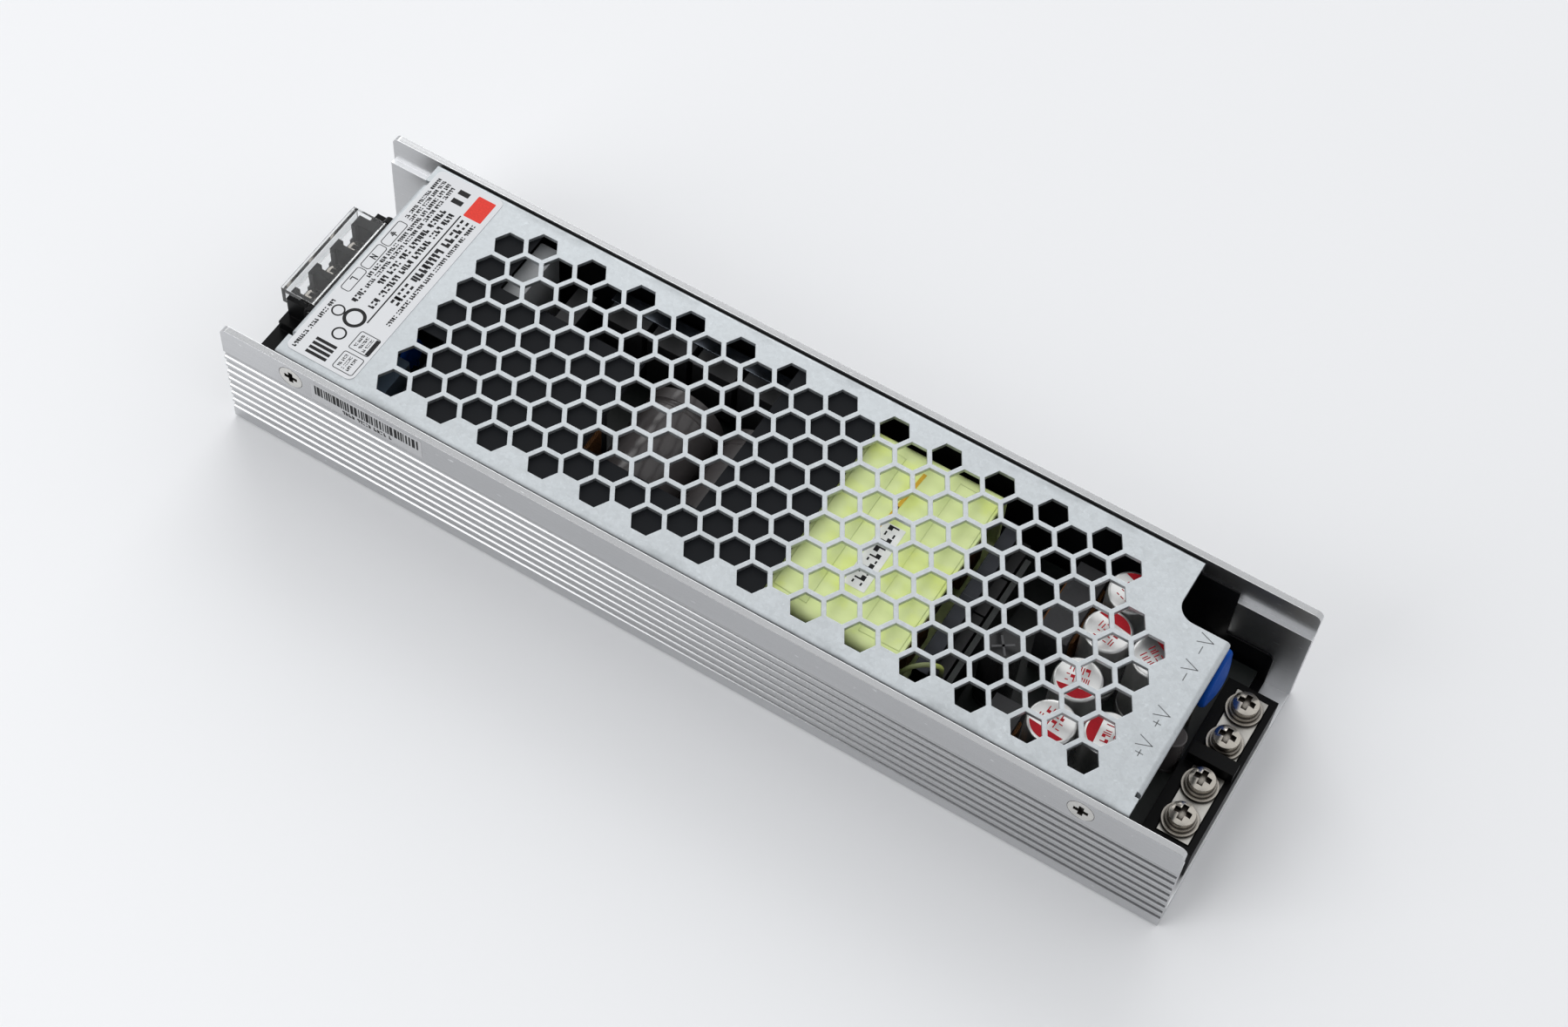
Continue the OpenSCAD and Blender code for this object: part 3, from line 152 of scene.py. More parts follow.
class Graph:
    """The shader nodes of a material or of the surroundings."""

    def __init__(self, owner):
        owner.use_nodes = True
        self.tree = owner.node_tree
        self.tree.nodes.clear()

    def node(self, kind, settings=None, sockets=None, out=0):
        """Adds a node: its settings first, then the values or links of its sockets."""
        made = self.tree.nodes.new(kind)
        for key, value in (settings or {}).items():
            setattr(made, key, value)
        for key, value in (sockets or {}).items():
            if isinstance(value, Value):
                self.tree.links.new(value.socket, made.inputs[key])
            else:
                made.inputs[key].default_value = value
        return Value(self, made.outputs[out]) if made.outputs else None

    def span(self, value, low, high):
        """0 below low, 1 above high."""
        sockets = {"Value": value, "From Min": low, "From Max": high}
        return self.node("ShaderNodeMapRange", None, sockets)

    def mix(self, share, first, second):
        """From the first colour to the second."""
        start, end = (c if isinstance(c, Value) else rgba(c) for c in (first, second))
        # The Mix node's colour sockets: 6 and 7 in, 2 out
        return self.node("ShaderNodeMix", {"data_type": "RGBA"}, {0: share, 6: start, 7: end}, 2)


class Finish(Graph):
    """A material whose pattern is laid out in the object's own metres."""

    def __init__(self, name):
        self.material = bpy.data.materials.new(name)
        super().__init__(self.material)
        self.place = self.node("ShaderNodeTexCoord", out="Object")

    def noise(self, per_metre, stretch=(1.0, 1.0, 1.0), detail=2.0):
        """Soft noise, 0 to 1, with so many features to the metre."""
        scale = [per_metre * s for s in stretch]
        at = self.node("ShaderNodeMapping", None, {"Vector": self.place, "Scale": scale})
        return self.node("ShaderNodeTexNoise", None, {"Vector": at, "Scale": 1.0, "Detail": detail})

    def cells(self, per_metre):
        """One random value for each crystal cell."""
        sockets = {"Vector": self.place, "Scale": per_metre}
        colour = self.node("ShaderNodeTexVoronoi", None, sockets, "Color")
        return self.node("ShaderNodeSeparateColor", None, {"Color": colour})

    def along(self, axis):
        """The place along X, Y or Z, in metres."""
        return self.node("ShaderNodeSeparateXYZ", None, {"Vector": self.place}, axis)

    def facing(self, axis):
        """The surface's normal along X, Y or Z."""
        normal = self.node("ShaderNodeNewGeometry", out="Normal")
        return self.node("ShaderNodeSeparateXYZ", None, {"Vector": normal}, axis)

    def crevice(self, reach, own=True):
        """1 deep in gaps and corners, of the piece itself or of all around it, 0 in the open."""
        settings = {"samples": 8, "only_local": own}
        return 1.0 - self.node("ShaderNodeAmbientOcclusion", settings, {"Distance": reach}, "AO")

    def relief(self, height, depth, strength=1.0, round_off=0.0):
        """A bump of so many metres, over edges that are rounded off by a radius."""
        sockets = {"Height": height, "Distance": depth, "Strength": strength}
        if round_off:
            sockets["Normal"] = self.node("ShaderNodeBevel", {"samples": 6}, {"Radius": round_off})
        return self.node("ShaderNodeBump", None, sockets)

    def shade(self, **sockets):
        """Closes the finish with its shader and gives the material."""
        named = {}
        for key, value in sockets.items():
            named[key.replace("_", " ").title().replace("Ior", "IOR")] = value
        shader = self.node("ShaderNodeBsdfPrincipled", None, named)
        self.node("ShaderNodeOutputMaterial", None, {"Surface": shader})
        return self.material


def extruded_aluminium(name, colour, rough, skin=1.0, lining=0.0):
    """Satin extruded aluminium with die lines.

    Grooves further out than skin get painted shade, and faces further in than lining are dull, with
    a painted highlight where they face up. Both are distances from the middle line, in metres.
    """
    f = Finish(name)
    lines = f.noise(1.0, (9.0, 2300.0, 2300.0), 3.0)
    grain = f.noise(3600.0, detail=3.0)
    cloud = f.noise(38.0, (0.5, 1.0, 1.0), 3.0)
    nicks = f.span(f.noise(1.0, (420.0, 1500.0, 1500.0), 1.0), 0.76, 0.80)
    cut_end = f.span(f.facing("X") * f.facing("X"), 0.6, 0.9)
    saw = f.noise(1.0, (10.0, 500.0, 5200.0), 2.0)
    tone = 0.30 * lines + 0.34 * grain + 0.30 * cloud + 0.10 * cut_end * saw
    metal = f.mix(tone, shade_of(colour, 0.80), shade_of(colour, 1.18))
    worn = f.mix(nicks * 0.8, metal, shade_of(colour, 1.5))
    across = f.along("Y")
    outside = f.span(across * across, (skin - 0.0002) ** 2, skin ** 2)
    # Painted shade in the outer grooves, darker the more they are hemmed in
    groove_shade = outside * f.span(f.crevice(0.0020), 0.05, 0.22)
    inside = 1.0 - f.span(across * across, lining ** 2, (lining + 0.0001) ** 2)
    # Painted highlight on the inner faces that face up, such as the ledge, laid over the real worn
    # nicks
    ledge_highlight = inside * f.span(f.facing("Z"), 0.8, 0.95)
    rubbed = f.mix(ledge_highlight, worn, shade_of(colour, 1.6))
    height = 0.28 * lines * (1.0 - cut_end) + 0.06 * grain + 0.6 * saw * cut_end
    return f.shade(
        base_color=f.mix(groove_shade * 0.6, rubbed, shade_of(colour, 0.30)),
        metallic=1.0,
        roughness=rough + 0.10 * grain + 0.06 * cut_end + 0.13 * inside,
        normal=f.relief(height, 0.00005, 0.5, 0.00013),
    )


def galvanised_steel(name, colour):
    """Matt galvanised sheet with a fine spangle and a few pale flecks."""
    f = Finish(name)
    coarse = f.cells(620.0)
    fine = f.cells(1500.0)
    grain = f.noise(2600.0, detail=3.0)
    cloud = f.noise(42.0, detail=4.0)
    fleck = f.span(f.noise(900.0, detail=2.0), 0.66, 0.74)
    across = f.along("Y")
    side = f.span(across * across, GRIME_AND_SHADE_START ** 2, GRIME_AND_SHADE_FULL ** 2)
    grime = f.span(f.noise(230.0, (0.5, 1.0, 1.0), 5.0), 0.50, 0.64)
    tone = 0.24 * coarse + 0.22 * fine + 0.26 * grain + 0.40 * cloud
    sheet = f.mix(tone, shade_of(colour, 0.80), shade_of(colour, 1.14))
    flecked = f.mix(fleck * 0.35, sheet, shade_of(colour, 1.3))
    grimy = f.mix(side * grime * 0.55, flecked, shade_of(colour, 0.45))
    # Painted shade in the gaps along the sides of the cover, next to the walls
    gap_shade = f.span(f.crevice(0.0012, False), 0.12, 0.32)
    return f.shade(
        base_color=f.mix(side * gap_shade * 0.9, grimy, shade_of(colour, 0.12)),
        metallic=0.86,
        roughness=0.40 + 0.10 * coarse + 0.08 * grain,
        normal=f.relief(0.5 * coarse + 0.3 * fine + 0.5 * grain, 0.00004, 0.35, 0.00018),
    )


def plated(name, colour, rough, scuffs=0.5):
    """Bright plating on turned and stamped steel, scuffed by a tool."""
    f = Finish(name)
    grain = f.noise(2400.0, detail=3.0)
    cloud = f.noise(260.0, detail=3.0)
    scuff = f.span(f.noise(1.0, (700.0, 3200.0, 1400.0), 2.0), 0.60, 0.72)
    tone = 0.35 * grain + 0.45 * cloud + 0.2 * scuff
    metal = f.mix(tone, shade_of(colour, 0.78), shade_of(colour, 1.16))
    # Painted shade: recesses and gaps between stacked parts are darkened to a dark brown and made
    # duller
    recess_shade = f.span(f.crevice(0.0017, False), 0.17, 0.42)
    return f.shade(
        base_color=f.mix(recess_shade * 0.94, metal, RECESS_SHADE),
        metallic=1.0,
        roughness=rough + 0.10 * grain + 0.10 * scuffs * scuff + 0.3 * recess_shade,
        normal=f.relief(0.5 * grain + scuffs * scuff, 0.00003, 0.4, 0.00012),
    )


def moulded(name, colour, rough, gloss=0.5):
    """Moulded plastic with a fine tool grain and dusty, uneven gloss."""
    f = Finish(name)
    grain = f.noise(3200.0, detail=2.0)
    cloud = f.noise(90.0, detail=4.0)
    dust = f.span(f.noise(1700.0, detail=1.0), 0.74, 0.80)
    body = f.mix(0.4 * grain + 0.5 * cloud, shade_of(colour, 0.8), shade_of(colour, 1.25))
    dusty = f.mix(dust * 0.03, body, DUST)
    return f.shade(
        base_color=dusty,
        roughness=rough + 0.12 * cloud + 0.05 * grain,
        specular_ior_level=gloss,
        normal=f.relief(grain, 0.00002, 0.5, 0.0002),
    )


def slick_film(name, colour, rough, gloss, wave):
    """Thin plastic film or fish paper, a little wavy."""
    f = Finish(name)
    waves = f.noise(55.0, detail=2.0)
    grain = f.noise(2800.0, detail=2.0)
    body = f.mix(0.6 * waves + 0.3 * grain, shade_of(colour, 0.75), shade_of(colour, 1.3))
    return f.shade(
        base_color=body,
        roughness=rough + 0.14 * waves,
        specular_ior_level=gloss,
        normal=f.relief(waves + 0.02 * grain, wave, 0.6),
    )


def clear_plastic(name, colour):
    """Clear moulded plastic with a faint haze and rubbed places."""
    f = Finish(name)
    haze = f.noise(320.0, detail=3.0)
    rubbed = f.span(f.noise(1.0, (240.0, 900.0, 900.0), 3.0), 0.58, 0.72)
    return f.shade(
        base_color=f.mix(haze, shade_of(colour, 0.97), colour),
        roughness=0.03 + 0.04 * haze + 0.10 * rubbed,
        transmission_weight=1.0,
        ior=1.49,
        normal=f.relief(haze, 0.00003, 0.2, 0.00025),
    )


def dipped_epoxy(name, colour, foot):
    """Glossy dipped coating with a slow orange peel, over bare leads below a height."""
    f = Finish(name)
    peel = f.noise(420.0, detail=2.0)
    cloud = f.noise(120.0, detail=3.0)
    coat = f.mix(cloud, shade_of(colour, 0.8), shade_of(colour, 1.2))
    wire = 1.0 - f.span(f.along("Z"), foot - 0.0008, foot)
    return f.shade(
        base_color=f.mix(wire, coat, LEAD_WIRE),
        roughness=0.40 + 0.10 * cloud,
        specular_ior_level=0.06,
        normal=f.relief(peel, 0.00012, 0.4),
    )


def wrapped_tape(name, colour):
    """Glossy polyester tape with wrinkles and yellower stretched places."""
    f = Finish(name)
    wrinkle = f.noise(1.0, (170.0, 420.0, 420.0), 4.0)
    cloud = f.noise(130.0, detail=4.0)
    grain = f.noise(2200.0, detail=2.0)
    stretched = f.span(cloud, 0.52, 0.66)
    body = f.mix(0.7 * cloud + 0.2 * grain, shade_of(colour, 0.97), colour)
    return f.shade(
        base_color=f.mix(stretched * 0.45, body, STRETCHED_TAPE),
        roughness=0.34 + 0.15 * wrinkle,
        specular_ior_level=0.3,
        normal=f.relief(wrinkle, 0.0002, 0.35, 0.0004),
    )


def enamelled_wire(name, colour, pitch):
    """Close turns of enamelled wire, stacked upwards."""
    f = Finish(name)
    turns = f.node(
        "ShaderNodeTexWave",
        {"bands_direction": "DIAGONAL"},
        {"Vector": f.place, "Scale": pitch, "Distortion": 1.5, "Detail": 2.0},
        "Fac",
    )
    cloud = f.noise(300.0, detail=3.0)
    return f.shade(
        base_color=f.mix(0.7 * turns + 0.3 * cloud, shade_of(colour, 0.45), shade_of(colour, 1.2)),
        metallic=0.6,
        roughness=0.28 + 0.15 * cloud,
        normal=f.relief(turns, 0.0002, 0.6),
    )


def sintered(name, colour):
    """Sintered ferrite: dull, grainy and a little chipped."""
    f = Finish(name)
    grain = f.noise(1900.0, detail=4.0)
    chips = f.span(f.noise(420.0, detail=2.0), 0.66, 0.72)
    body = f.mix(grain, shade_of(colour, 0.7), shade_of(colour, 1.3))
    return f.shade(
        base_color=f.mix(chips * 0.5, body, shade_of(colour, 1.9)),
        roughness=0.48 + 0.2 * grain,
        normal=f.relief(grain + chips, 0.00005, 0.5, 0.0002),
    )


def laminate(name, colour):
    """Circuit board under its lacquer, with copper tracks showing through."""
    f = Finish(name)
    tracks = f.span(f.cells(190.0), 0.50, 0.54)
    weave = f.noise(2100.0, detail=2.0)
    body = f.mix(tracks * 0.6, colour, shade_of(colour, 1.7))
    return f.shade(
        base_color=f.mix(weave * 0.4, body, shade_of(colour, 0.7)),
        roughness=0.30 + 0.15 * weave,
        normal=f.relief(tracks + 0.2 * weave, 0.00004, 0.5),
    )


def spun_can(name, colour, rough):
    """Drawn aluminium can with fine turned lines."""
    f = Finish(name)
    lines = f.noise(1.0, (900.0, 900.0, 5200.0), 2.0)
    cloud = f.noise(400.0, detail=3.0)
    return f.shade(
        base_color=f.mix(0.5 * lines + 0.5 * cloud, shade_of(colour, 0.86), shade_of(colour, 1.12)),
        metallic=0.96,
        roughness=rough + 0.14 * lines,
        normal=f.relief(lines, 0.00002, 0.4, 0.0003),
    )


def shrink_sleeve(name, colour):
    """Glossy shrink sleeve, pulled tight with faint ripples."""
    f = Finish(name)
    ripple = f.noise(1.0, (260.0, 260.0, 120.0), 3.0)
    cloud = f.noise(150.0, detail=3.0)
    return f.shade(
        base_color=f.mix(cloud, shade_of(colour, 0.8), shade_of(colour, 1.25)),
        roughness=0.16 + 0.12 * ripple,
        normal=f.relief(ripple, 0.0001, 0.35),
    )


def coated_paper(name, colour, rough):
    """Coated label stock: a faint fibre and a faint sheen."""
    f = Finish(name)
    fibre = f.noise(1.0, (1500.0, 3400.0, 1500.0), 3.0)
    cloud = f.noise(70.0, detail=3.0)
    return f.shade(
        base_color=f.mix(0.5 * fibre + 0.5 * cloud, shade_of(colour, 0.95), shade_of(colour, 1.03)),
        roughness=rough + 0.10 * fibre,
        normal=f.relief(fibre, 0.00001, 0.4),
    )


def printed_ink(name, colour):
    """Printing ink, slightly uneven where it lies on the stock."""
    f = Finish(name)
    mottle = f.noise(2600.0, detail=3.0)
    return f.shade(
        base_color=f.mix(mottle, shade_of(colour, 0.8), shade_of(colour, 1.3)),
        roughness=0.45 + 0.2 * mottle,
        specular_ior_level=0.2,
    )


# Flat shapes, in millimetres, on a surface of the case


class Surface:
    """A flat place on the part: reading direction, direction of the letter tops, and outward."""

    def __init__(self, origin, reading, upward):
        self.origin = Vector(origin)
        self.reading = Vector(reading)
        self.upward = Vector(upward)
        self.outward = self.reading.cross(self.upward)

    def point(self, u, v, w):
        """A point on the place, w millimetres outward, in the part's metres."""
        return (self.origin + self.reading * u + self.upward * v + self.outward * w) * MM


def block(u0, u1, v0, v1):
    """A plain rectangle."""
    return [(u0, v0), (u1, v0), (u1, v1), (u0, v1)]


def stroke(start, end, width):
    """A straight stroke with square ends that reach half a width past its points."""
    a, b = Vector(start), Vector(end)
    along = (b - a).normalized() * (width / 2)
    side = Vector((-along.y, along.x))
    a, b = a - along, b + along
    return [tuple(p) for p in (a - side, b - side, b + side, a + side)]


def strokes(points, width):
    """Strokes from point to point."""
    return [stroke(a, b, width) for a, b in zip(points, points[1:])]


def arc(centre, radius, start, end, steps=24):
    """Points along an arc, in degrees."""
    turns = [math.radians(start + (end - start) * i / steps) for i in range(steps + 1)]
    return [(centre[0] + radius * math.cos(t), centre[1] + radius * math.sin(t)) for t in turns]


def ring(centre, radius, width, start=0.0, end=360.0):
    """A ring, as two half bands."""
    half = (start + end) / 2
    bands = []
    for a, b in ((start, half), (half, end)):
        outer = arc(centre, radius + width / 2, a, b)
        bands.append(outer + arc(centre, radius - width / 2, b, a))
    return bands


def outline_box(u0, u1, v0, v1, radius, width):
    """A rounded frame, drawn as strokes and quarter rings."""
    shapes = [
        block(u0 + radius, u1 - radius, v0 - width / 2, v0 + width / 2),
        block(u0 + radius, u1 - radius, v1 - width / 2, v1 + width / 2),
        block(u0 - width / 2, u0 + width / 2, v0 + radius, v1 - radius),
        block(u1 - width / 2, u1 + width / 2, v0 + radius, v1 - radius),
    ]
    for u, v, turn in ((u1 - radius, v1 - radius, 0), (u0 + radius, v1 - radius, 90),
                       (u0 + radius, v0 + radius, 180), (u1 - radius, v0 + radius, 270)):
        shapes += ring((u, v), radius, width, turn, turn + 90)
    return shapes


def dummy_text(u0, u1, v, height, dice, weight=0.26):
    """A line of stand-in print: little bars and blocks that say nothing."""
    shapes = []
    thin = height * weight
    top = v + height
    u = u0
    left_in_word = dice.randint(3, 8)
    while u < u1:
        wide = height * dice.uniform(0.42, 0.66)
        end = u + wide
        form = dice.randint(0, 3)
        if form == 0:
            shapes.append(block(u, u + thin, v, top))
            shapes.append(block(end - thin, end, v, v + height * 0.8))
        elif form == 1:
            shapes.append(block(u, end, v, v + height * 0.45))
            shapes.append(block(u, u + thin, v + height * 0.45, top))
        elif form == 2:
            shapes.append(block(u, end, v + height * 0.55, top))
            shapes.append(block(end - thin, end, v, v + height * 0.55))
        else:
            shapes.append(block(u, u + wide * 0.8, v, v + thin))
            shapes.append(block(u, u + wide * 0.8, top - thin, top))
        u = end + height * 0.14
        left_in_word -= 1
        if left_in_word == 0:
            u += height * 0.5
            left_in_word = dice.randint(3, 8)
    return shapes


# Function marks of the terminals, one unit high
MARKS = {
    "L": [[(0.0, 1.0), (0.0, 0.0), (0.55, 0.0)]],
    "N": [[(0.0, 0.0), (0.0, 1.0), (0.6, 0.0), (0.6, 1.0)]],
    "V": [[(0.0, 1.0), (0.38, 0.0), (0.76, 1.0)]],
    "plus": [[(0.0, 0.5), (0.66, 0.5)], [(0.33, 0.17), (0.33, 0.83)]],
    "minus": [[(-0.1, 0.5), (0.7, 0.5)]],
    "earth": [[(0.4, 1.0), (0.4, 0.5)], [(0.0, 0.5), (0.8, 0.5)], [(0.15, 0.25), (0.65, 0.25)],
              [(0.3, 0.0), (0.5, 0.0)]],
}


def mark(name, u, v, height, width):
    """One function mark, with its lower left corner at u, v."""
    shapes = []
    for line in MARKS[name]:
        shapes += strokes([(u + a * height, v + b * height) for a, b in line], width)
    return shapes


def add_piece(name, data, material):
    """Adds a mesh or curve as a piece of the housing, with its finish."""
    data.materials.append(material)
    piece = bpy.data.objects.new(name, data)
    bpy.context.scene.collection.objects.link(piece)
    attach(piece, HOUSING)


def flat_piece(name, surface, shapes, thickness, material):
    """Thin closed shapes that lie on a surface, as print or a sticker does."""
    bm = bmesh.new()
    for shape in shapes:
        low = [bm.verts.new(surface.point(u, v, -SUNK)) for u, v in shape]
        high = [bm.verts.new(surface.point(u, v, thickness)) for u, v in shape]
        bm.faces.new(high)
        bm.faces.new(low[::-1])
        count = len(shape)
        for i in range(count):
            j = (i + 1) % count
            bm.faces.new((low[i], low[j], high[j], high[i]))
    bmesh.ops.recalc_face_normals(bm, faces=bm.faces)
    mesh = bpy.data.meshes.new(name)
    bm.to_mesh(mesh)
    bm.free()
    add_piece(name, mesh, material)


def rounded_plate(u0, u1, v0, v1, radius):
    """The outline of a plate with round corners."""
    points = []
    for u, v, turn in ((u1 - radius, v0 + radius, -90), (u1 - radius, v1 - radius, 0),
                       (u0 + radius, v1 - radius, 90), (u0 + radius, v0 + radius, 180)):
        points += arc((u, v), radius, turn, turn + 90, 6)
    return points


def bent_lead(name, points, radius, material):
    """A bent round lead through points, in millimetres."""
    curve = bpy.data.curves.new(name, "CURVE")
    curve.dimensions = "3D"
    curve.bevel_depth = radius * MM
    curve.bevel_resolution = 4
    curve.use_fill_caps = True
    line = curve.splines.new("BEZIER")
    line.bezier_points.add(len(points) - 1)
    for at, point in zip(line.bezier_points, points):
        at.co = Vector(point) * MM
        at.handle_left_type = "AUTO"
        at.handle_right_type = "AUTO"
    add_piece(name, curve, material)


def dress(material, *nodes):
    """Gives CAD nodes a finish."""
    for name in nodes:
        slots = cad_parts[name].data.materials
        slots.clear()
        slots.append(material)


def corner(node, end):
    """A node's lowest (0) or highest (1) corner, in millimetres."""
    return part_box(node)[end] / MM


# Settings


def colour_property(name, description, default):
    """A colour that a user may change."""
    return FloatVectorProperty(
        name=name, description=description, default=default,
        subtype="COLOR", size=3, min=0.0, max=1.0,
    )


def length_property(name, description, default, least):
    """A length that a user may change. The default and the least are in millimetres."""
    return FloatProperty(
        name=name, description=description, default=default * MM, min=least * MM,
        subtype="DISTANCE", unit="LENGTH", precision=5,
    )


def power_property(name, description, default):
    """The power of a lamp that a user may change."""
    return FloatProperty(
        name=name, description=description, default=default, min=0.0,
        subtype="POWER", unit="POWER",
    )


class SupplyColours(bpy.types.PropertyGroup):
    """Colours of the supply's finishes."""

    aluminium: colour_property("Aluminium", "Channel", (0.57, 0.575, 0.585))
    steel: colour_property("Galvanised steel", "Top cover", (0.53, 0.56, 0.58))
    zinc: colour_property("Zinc plating", "Cover screws", (0.74, 0.73, 0.70))
    nickel: colour_property("Nickel plating", "Terminal screws and washers", (0.62, 0.58, 0.52))
    tin: colour_property("Tin plating", "Busbars and contacts", (0.62, 0.60, 0.56))
    black: colour_property("Black plastic", "Terminal blocks", (0.0018, 0.0018, 0.0021))
    film: colour_property("Black film", "Insulation on the floor and walls", (0.004, 0.004, 0.005))
    sheet: colour_property("Dark sheet", "Insulation under the cover", (0.007, 0.008, 0.010))
    clear: colour_property("Clear plastic", "Lid over the input terminals", (0.97, 0.98, 0.985))
    tape: colour_property("Tape", "Wrap of the transformer", (0.885, 1.0, 0.47))
    blue: colour_property("Blue coating", "Disc capacitors", (0.004, 0.062, 0.33))
    can: colour_property("Bare can", "Tops of the output capacitors", (0.80, 0.80, 0.79))
    red: colour_property("Red print", "Segment on the output capacitors", (0.46, 0.010, 0.020))
    label: colour_property("Label", "Stock of the rating label", (0.72, 0.73, 0.75))
    accent: colour_property("Label bar", "Coloured bar on the rating label", (0.72, 0.045, 0.030))
    ink: colour_property("Ink", "Print on the labels", (0.012, 0.012, 0.013))


class SupplyPrint(bpy.types.PropertyGroup):
    """Sizes of the stand-in print."""

    ink_depth: length_property("Ink depth", "Thickness of printed ink", 0.012, 0.005)
    line: length_property("Line", "Width of thin printed lines", 0.22, 0.05)
    small: length_property("Small print", "Height of the small lines of print", 0.9, 0.3)
    medium: length_property("Medium print", "Height of the middle lines of print", 1.35, 0.4)
    large: length_property("Large print", "Height of the large line of print", 1.9, 0.5)
    seed: IntProperty(name="Seed", description="Varies the stand-in print", default=7, min=0)


class SupplyStudio(bpy.types.PropertyGroup):
    """Camera, floor and light."""

    camera: FloatVectorProperty(
        name="Camera", description="Place of the camera", default=(0.13721, -0.27157, 0.48577),
        subtype="TRANSLATION", unit="LENGTH",
    )
    aim: FloatVectorProperty(
        name="Aim", description="Rotation of the camera", subtype="EULER", unit="ROTATION",
        default=(math.radians(32.747), math.radians(-3.297), math.radians(30.890)),
    )
    lens: FloatProperty(
        name="Lens", description="Focal length of the camera", default=63.118, min=10.0,
        subtype="DISTANCE_CAMERA", unit="CAMERA",
    )
    floor: colour_property("Floor", "Pale table top", (0.90, 0.905, 0.92))
    key: power_property("Key light", "Power of the soft light at the back", 29.0)
    fill: power_property("Fill light", "Power of the soft light at the front", 4.3)
    sky: FloatProperty(
        name="Surroundings", description="Strength of the light all around", default=0.80,
        min=0.0, max=1.0, subtype="FACTOR",
    )


def colours():
    """The colours as they are set now."""
    return bpy.context.scene.supply_colours


def print_sizes():
    """The sizes of the print as they are set now, in millimetres, and its seed."""
    group = bpy.context.scene.supply_print
    lengths = ("ink_depth", "line", "small", "medium", "large")
    sizes = {name: getattr(group, name) / MM for name in lengths}
    return SimpleNamespace(seed=group.seed, **sizes)


# Pieces


class SUPPLY_OT_case(bpy.types.Operator):
    """Finishes the channel, the cover, its screws and the insulation"""

    bl_idname = "supply.case"
    bl_label = "Case"

    def execute(self, context):
        c = colours()
        groove_reach = 0.0009
        cover_play = 0.0002
        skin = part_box("chassis")[1].y - groove_reach
        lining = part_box("top_cover")[1].y + cover_play
        channel = extruded_aluminium("extruded_aluminium", c.aluminium, 0.16, skin, lining)
        dress(channel, "chassis")
        dress(galvanised_steel("galvanised_steel", c.steel), "top_cover")
        dress(plated("zinc_plating", c.zinc, 0.24), "cover_screws", "board_screws")
        dress(coated_paper("label_stock", c.label, 0.50), "rating_label")
        dress(slick_film("black_film", c.film, 0.24, 0.18, 0.0006), "insulating_film")
        dress(slick_film("dark_sheet", c.sheet, 0.50, 0.10, 0.0004), "insulating_sheet")
        return {"FINISHED"}


class SUPPLY_OT_terminals(bpy.types.Operator):
    """Finishes the terminal blocks, their metal parts and the clear lid"""

    bl_idname = "supply.terminals"
    bl_label = "Terminals"

    def execute(self, context):
        c = colours()
        black = moulded("black_moulding", c.black, 0.32, 0.12)
        dress(black, "input_terminal_block", "output_terminal_block")
        nickel = plated("nickel_plating", c.nickel, 0.17)
        dress(nickel, "output_screws", "output_flat_washers", "output_spring_washers")
        dress(nickel, "output_nuts", "input_screws", "input_wire_clamps")
        tin = plated("tin_plating", c.tin, 0.26, 0.8)
        dress(tin, "positive_busbar", "negative_busbar", "input_contacts")
        dress(clear_plastic("clear_plastic", c.clear), "input_lid")
        return {"FINISHED"}


class SUPPLY_OT_inside(bpy.types.Operator):
    """Finishes the circuit board and the parts that stand on it"""

    bl_idname = "supply.inside"
    bl_label = "Inside"

    def execute(self, context):
        c = colours()
        dress(laminate("board_laminate", BOARD), "circuit_board", "control_board")
        dress(plated("tinned_spacer", SPACER, 0.30), "board_spacers")
        dress(moulded("fuse_ceramic", CERAMIC, 0.25), "mains_fuse")
        dress(plated("brass_clip", BRASS, 0.26), "fuse_clips")
        for name in ("varistor", "filter_disc_capacitors", "disc_capacitor"):
            low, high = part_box(name)
            foot = high.z - min(high.y - low.y, high.z - low.z)
            dress(dipped_epoxy("blue_coating_" + name, c.blue, foot), name)
        dress(moulded("grey_box", FILM_BOX, 0.28), "mains_film_capacitor")
        dress(moulded("relay_box", RELAY_BOX, 0.34), "inrush_relay")
        dress(moulded("rectifier_body", RECTIFIER, 0.35), "bridge_rectifier")
        transistor = moulded("transistor_body", BLACK_RESIN, 0.38)
        dress(transistor, "power_transistors", "rectifier_transistors")
        ferrite = sintered("ferrite", FERRITE)
        dress(ferrite, "filter_choke_core", "boost_choke_core")
        dress(ferrite, "output_choke_cores", "transformer_core")
        wire = enamelled_wire("enamelled_wire", COPPER, 1400.0)
        dress(wire, "filter_choke_windings", "boost_choke_winding")
        dress(wire, "output_choke_coils", "transformer_coil")
        dress(extruded_aluminium("heatsink_bar", BRIGHT_HEATSINK, 0.20), "mains_heatsink")
        dress(extruded_aluminium("dark_heatsink", DARK_HEATSINK, 0.30), "rectifier_heatsink")
        dress(moulded("transformer_bobbin", BLACK_RESIN, 0.36), "transformer_base")
        dress(wrapped_tape("yellow_tape", c.tape), "transformer_wrap")
        dress(spun_can("bare_can", c.can, 0.30), "output_capacitors")
        grey = shrink_sleeve("grey_sleeve", GREY_SLEEVE)
        dress(grey, "bulk_capacitors", "filter_capacitor")
        dress(shrink_sleeve("black_sleeve", BLACK_SLEEVE), "auxiliary_capacitor")
        return {"FINISHED"}


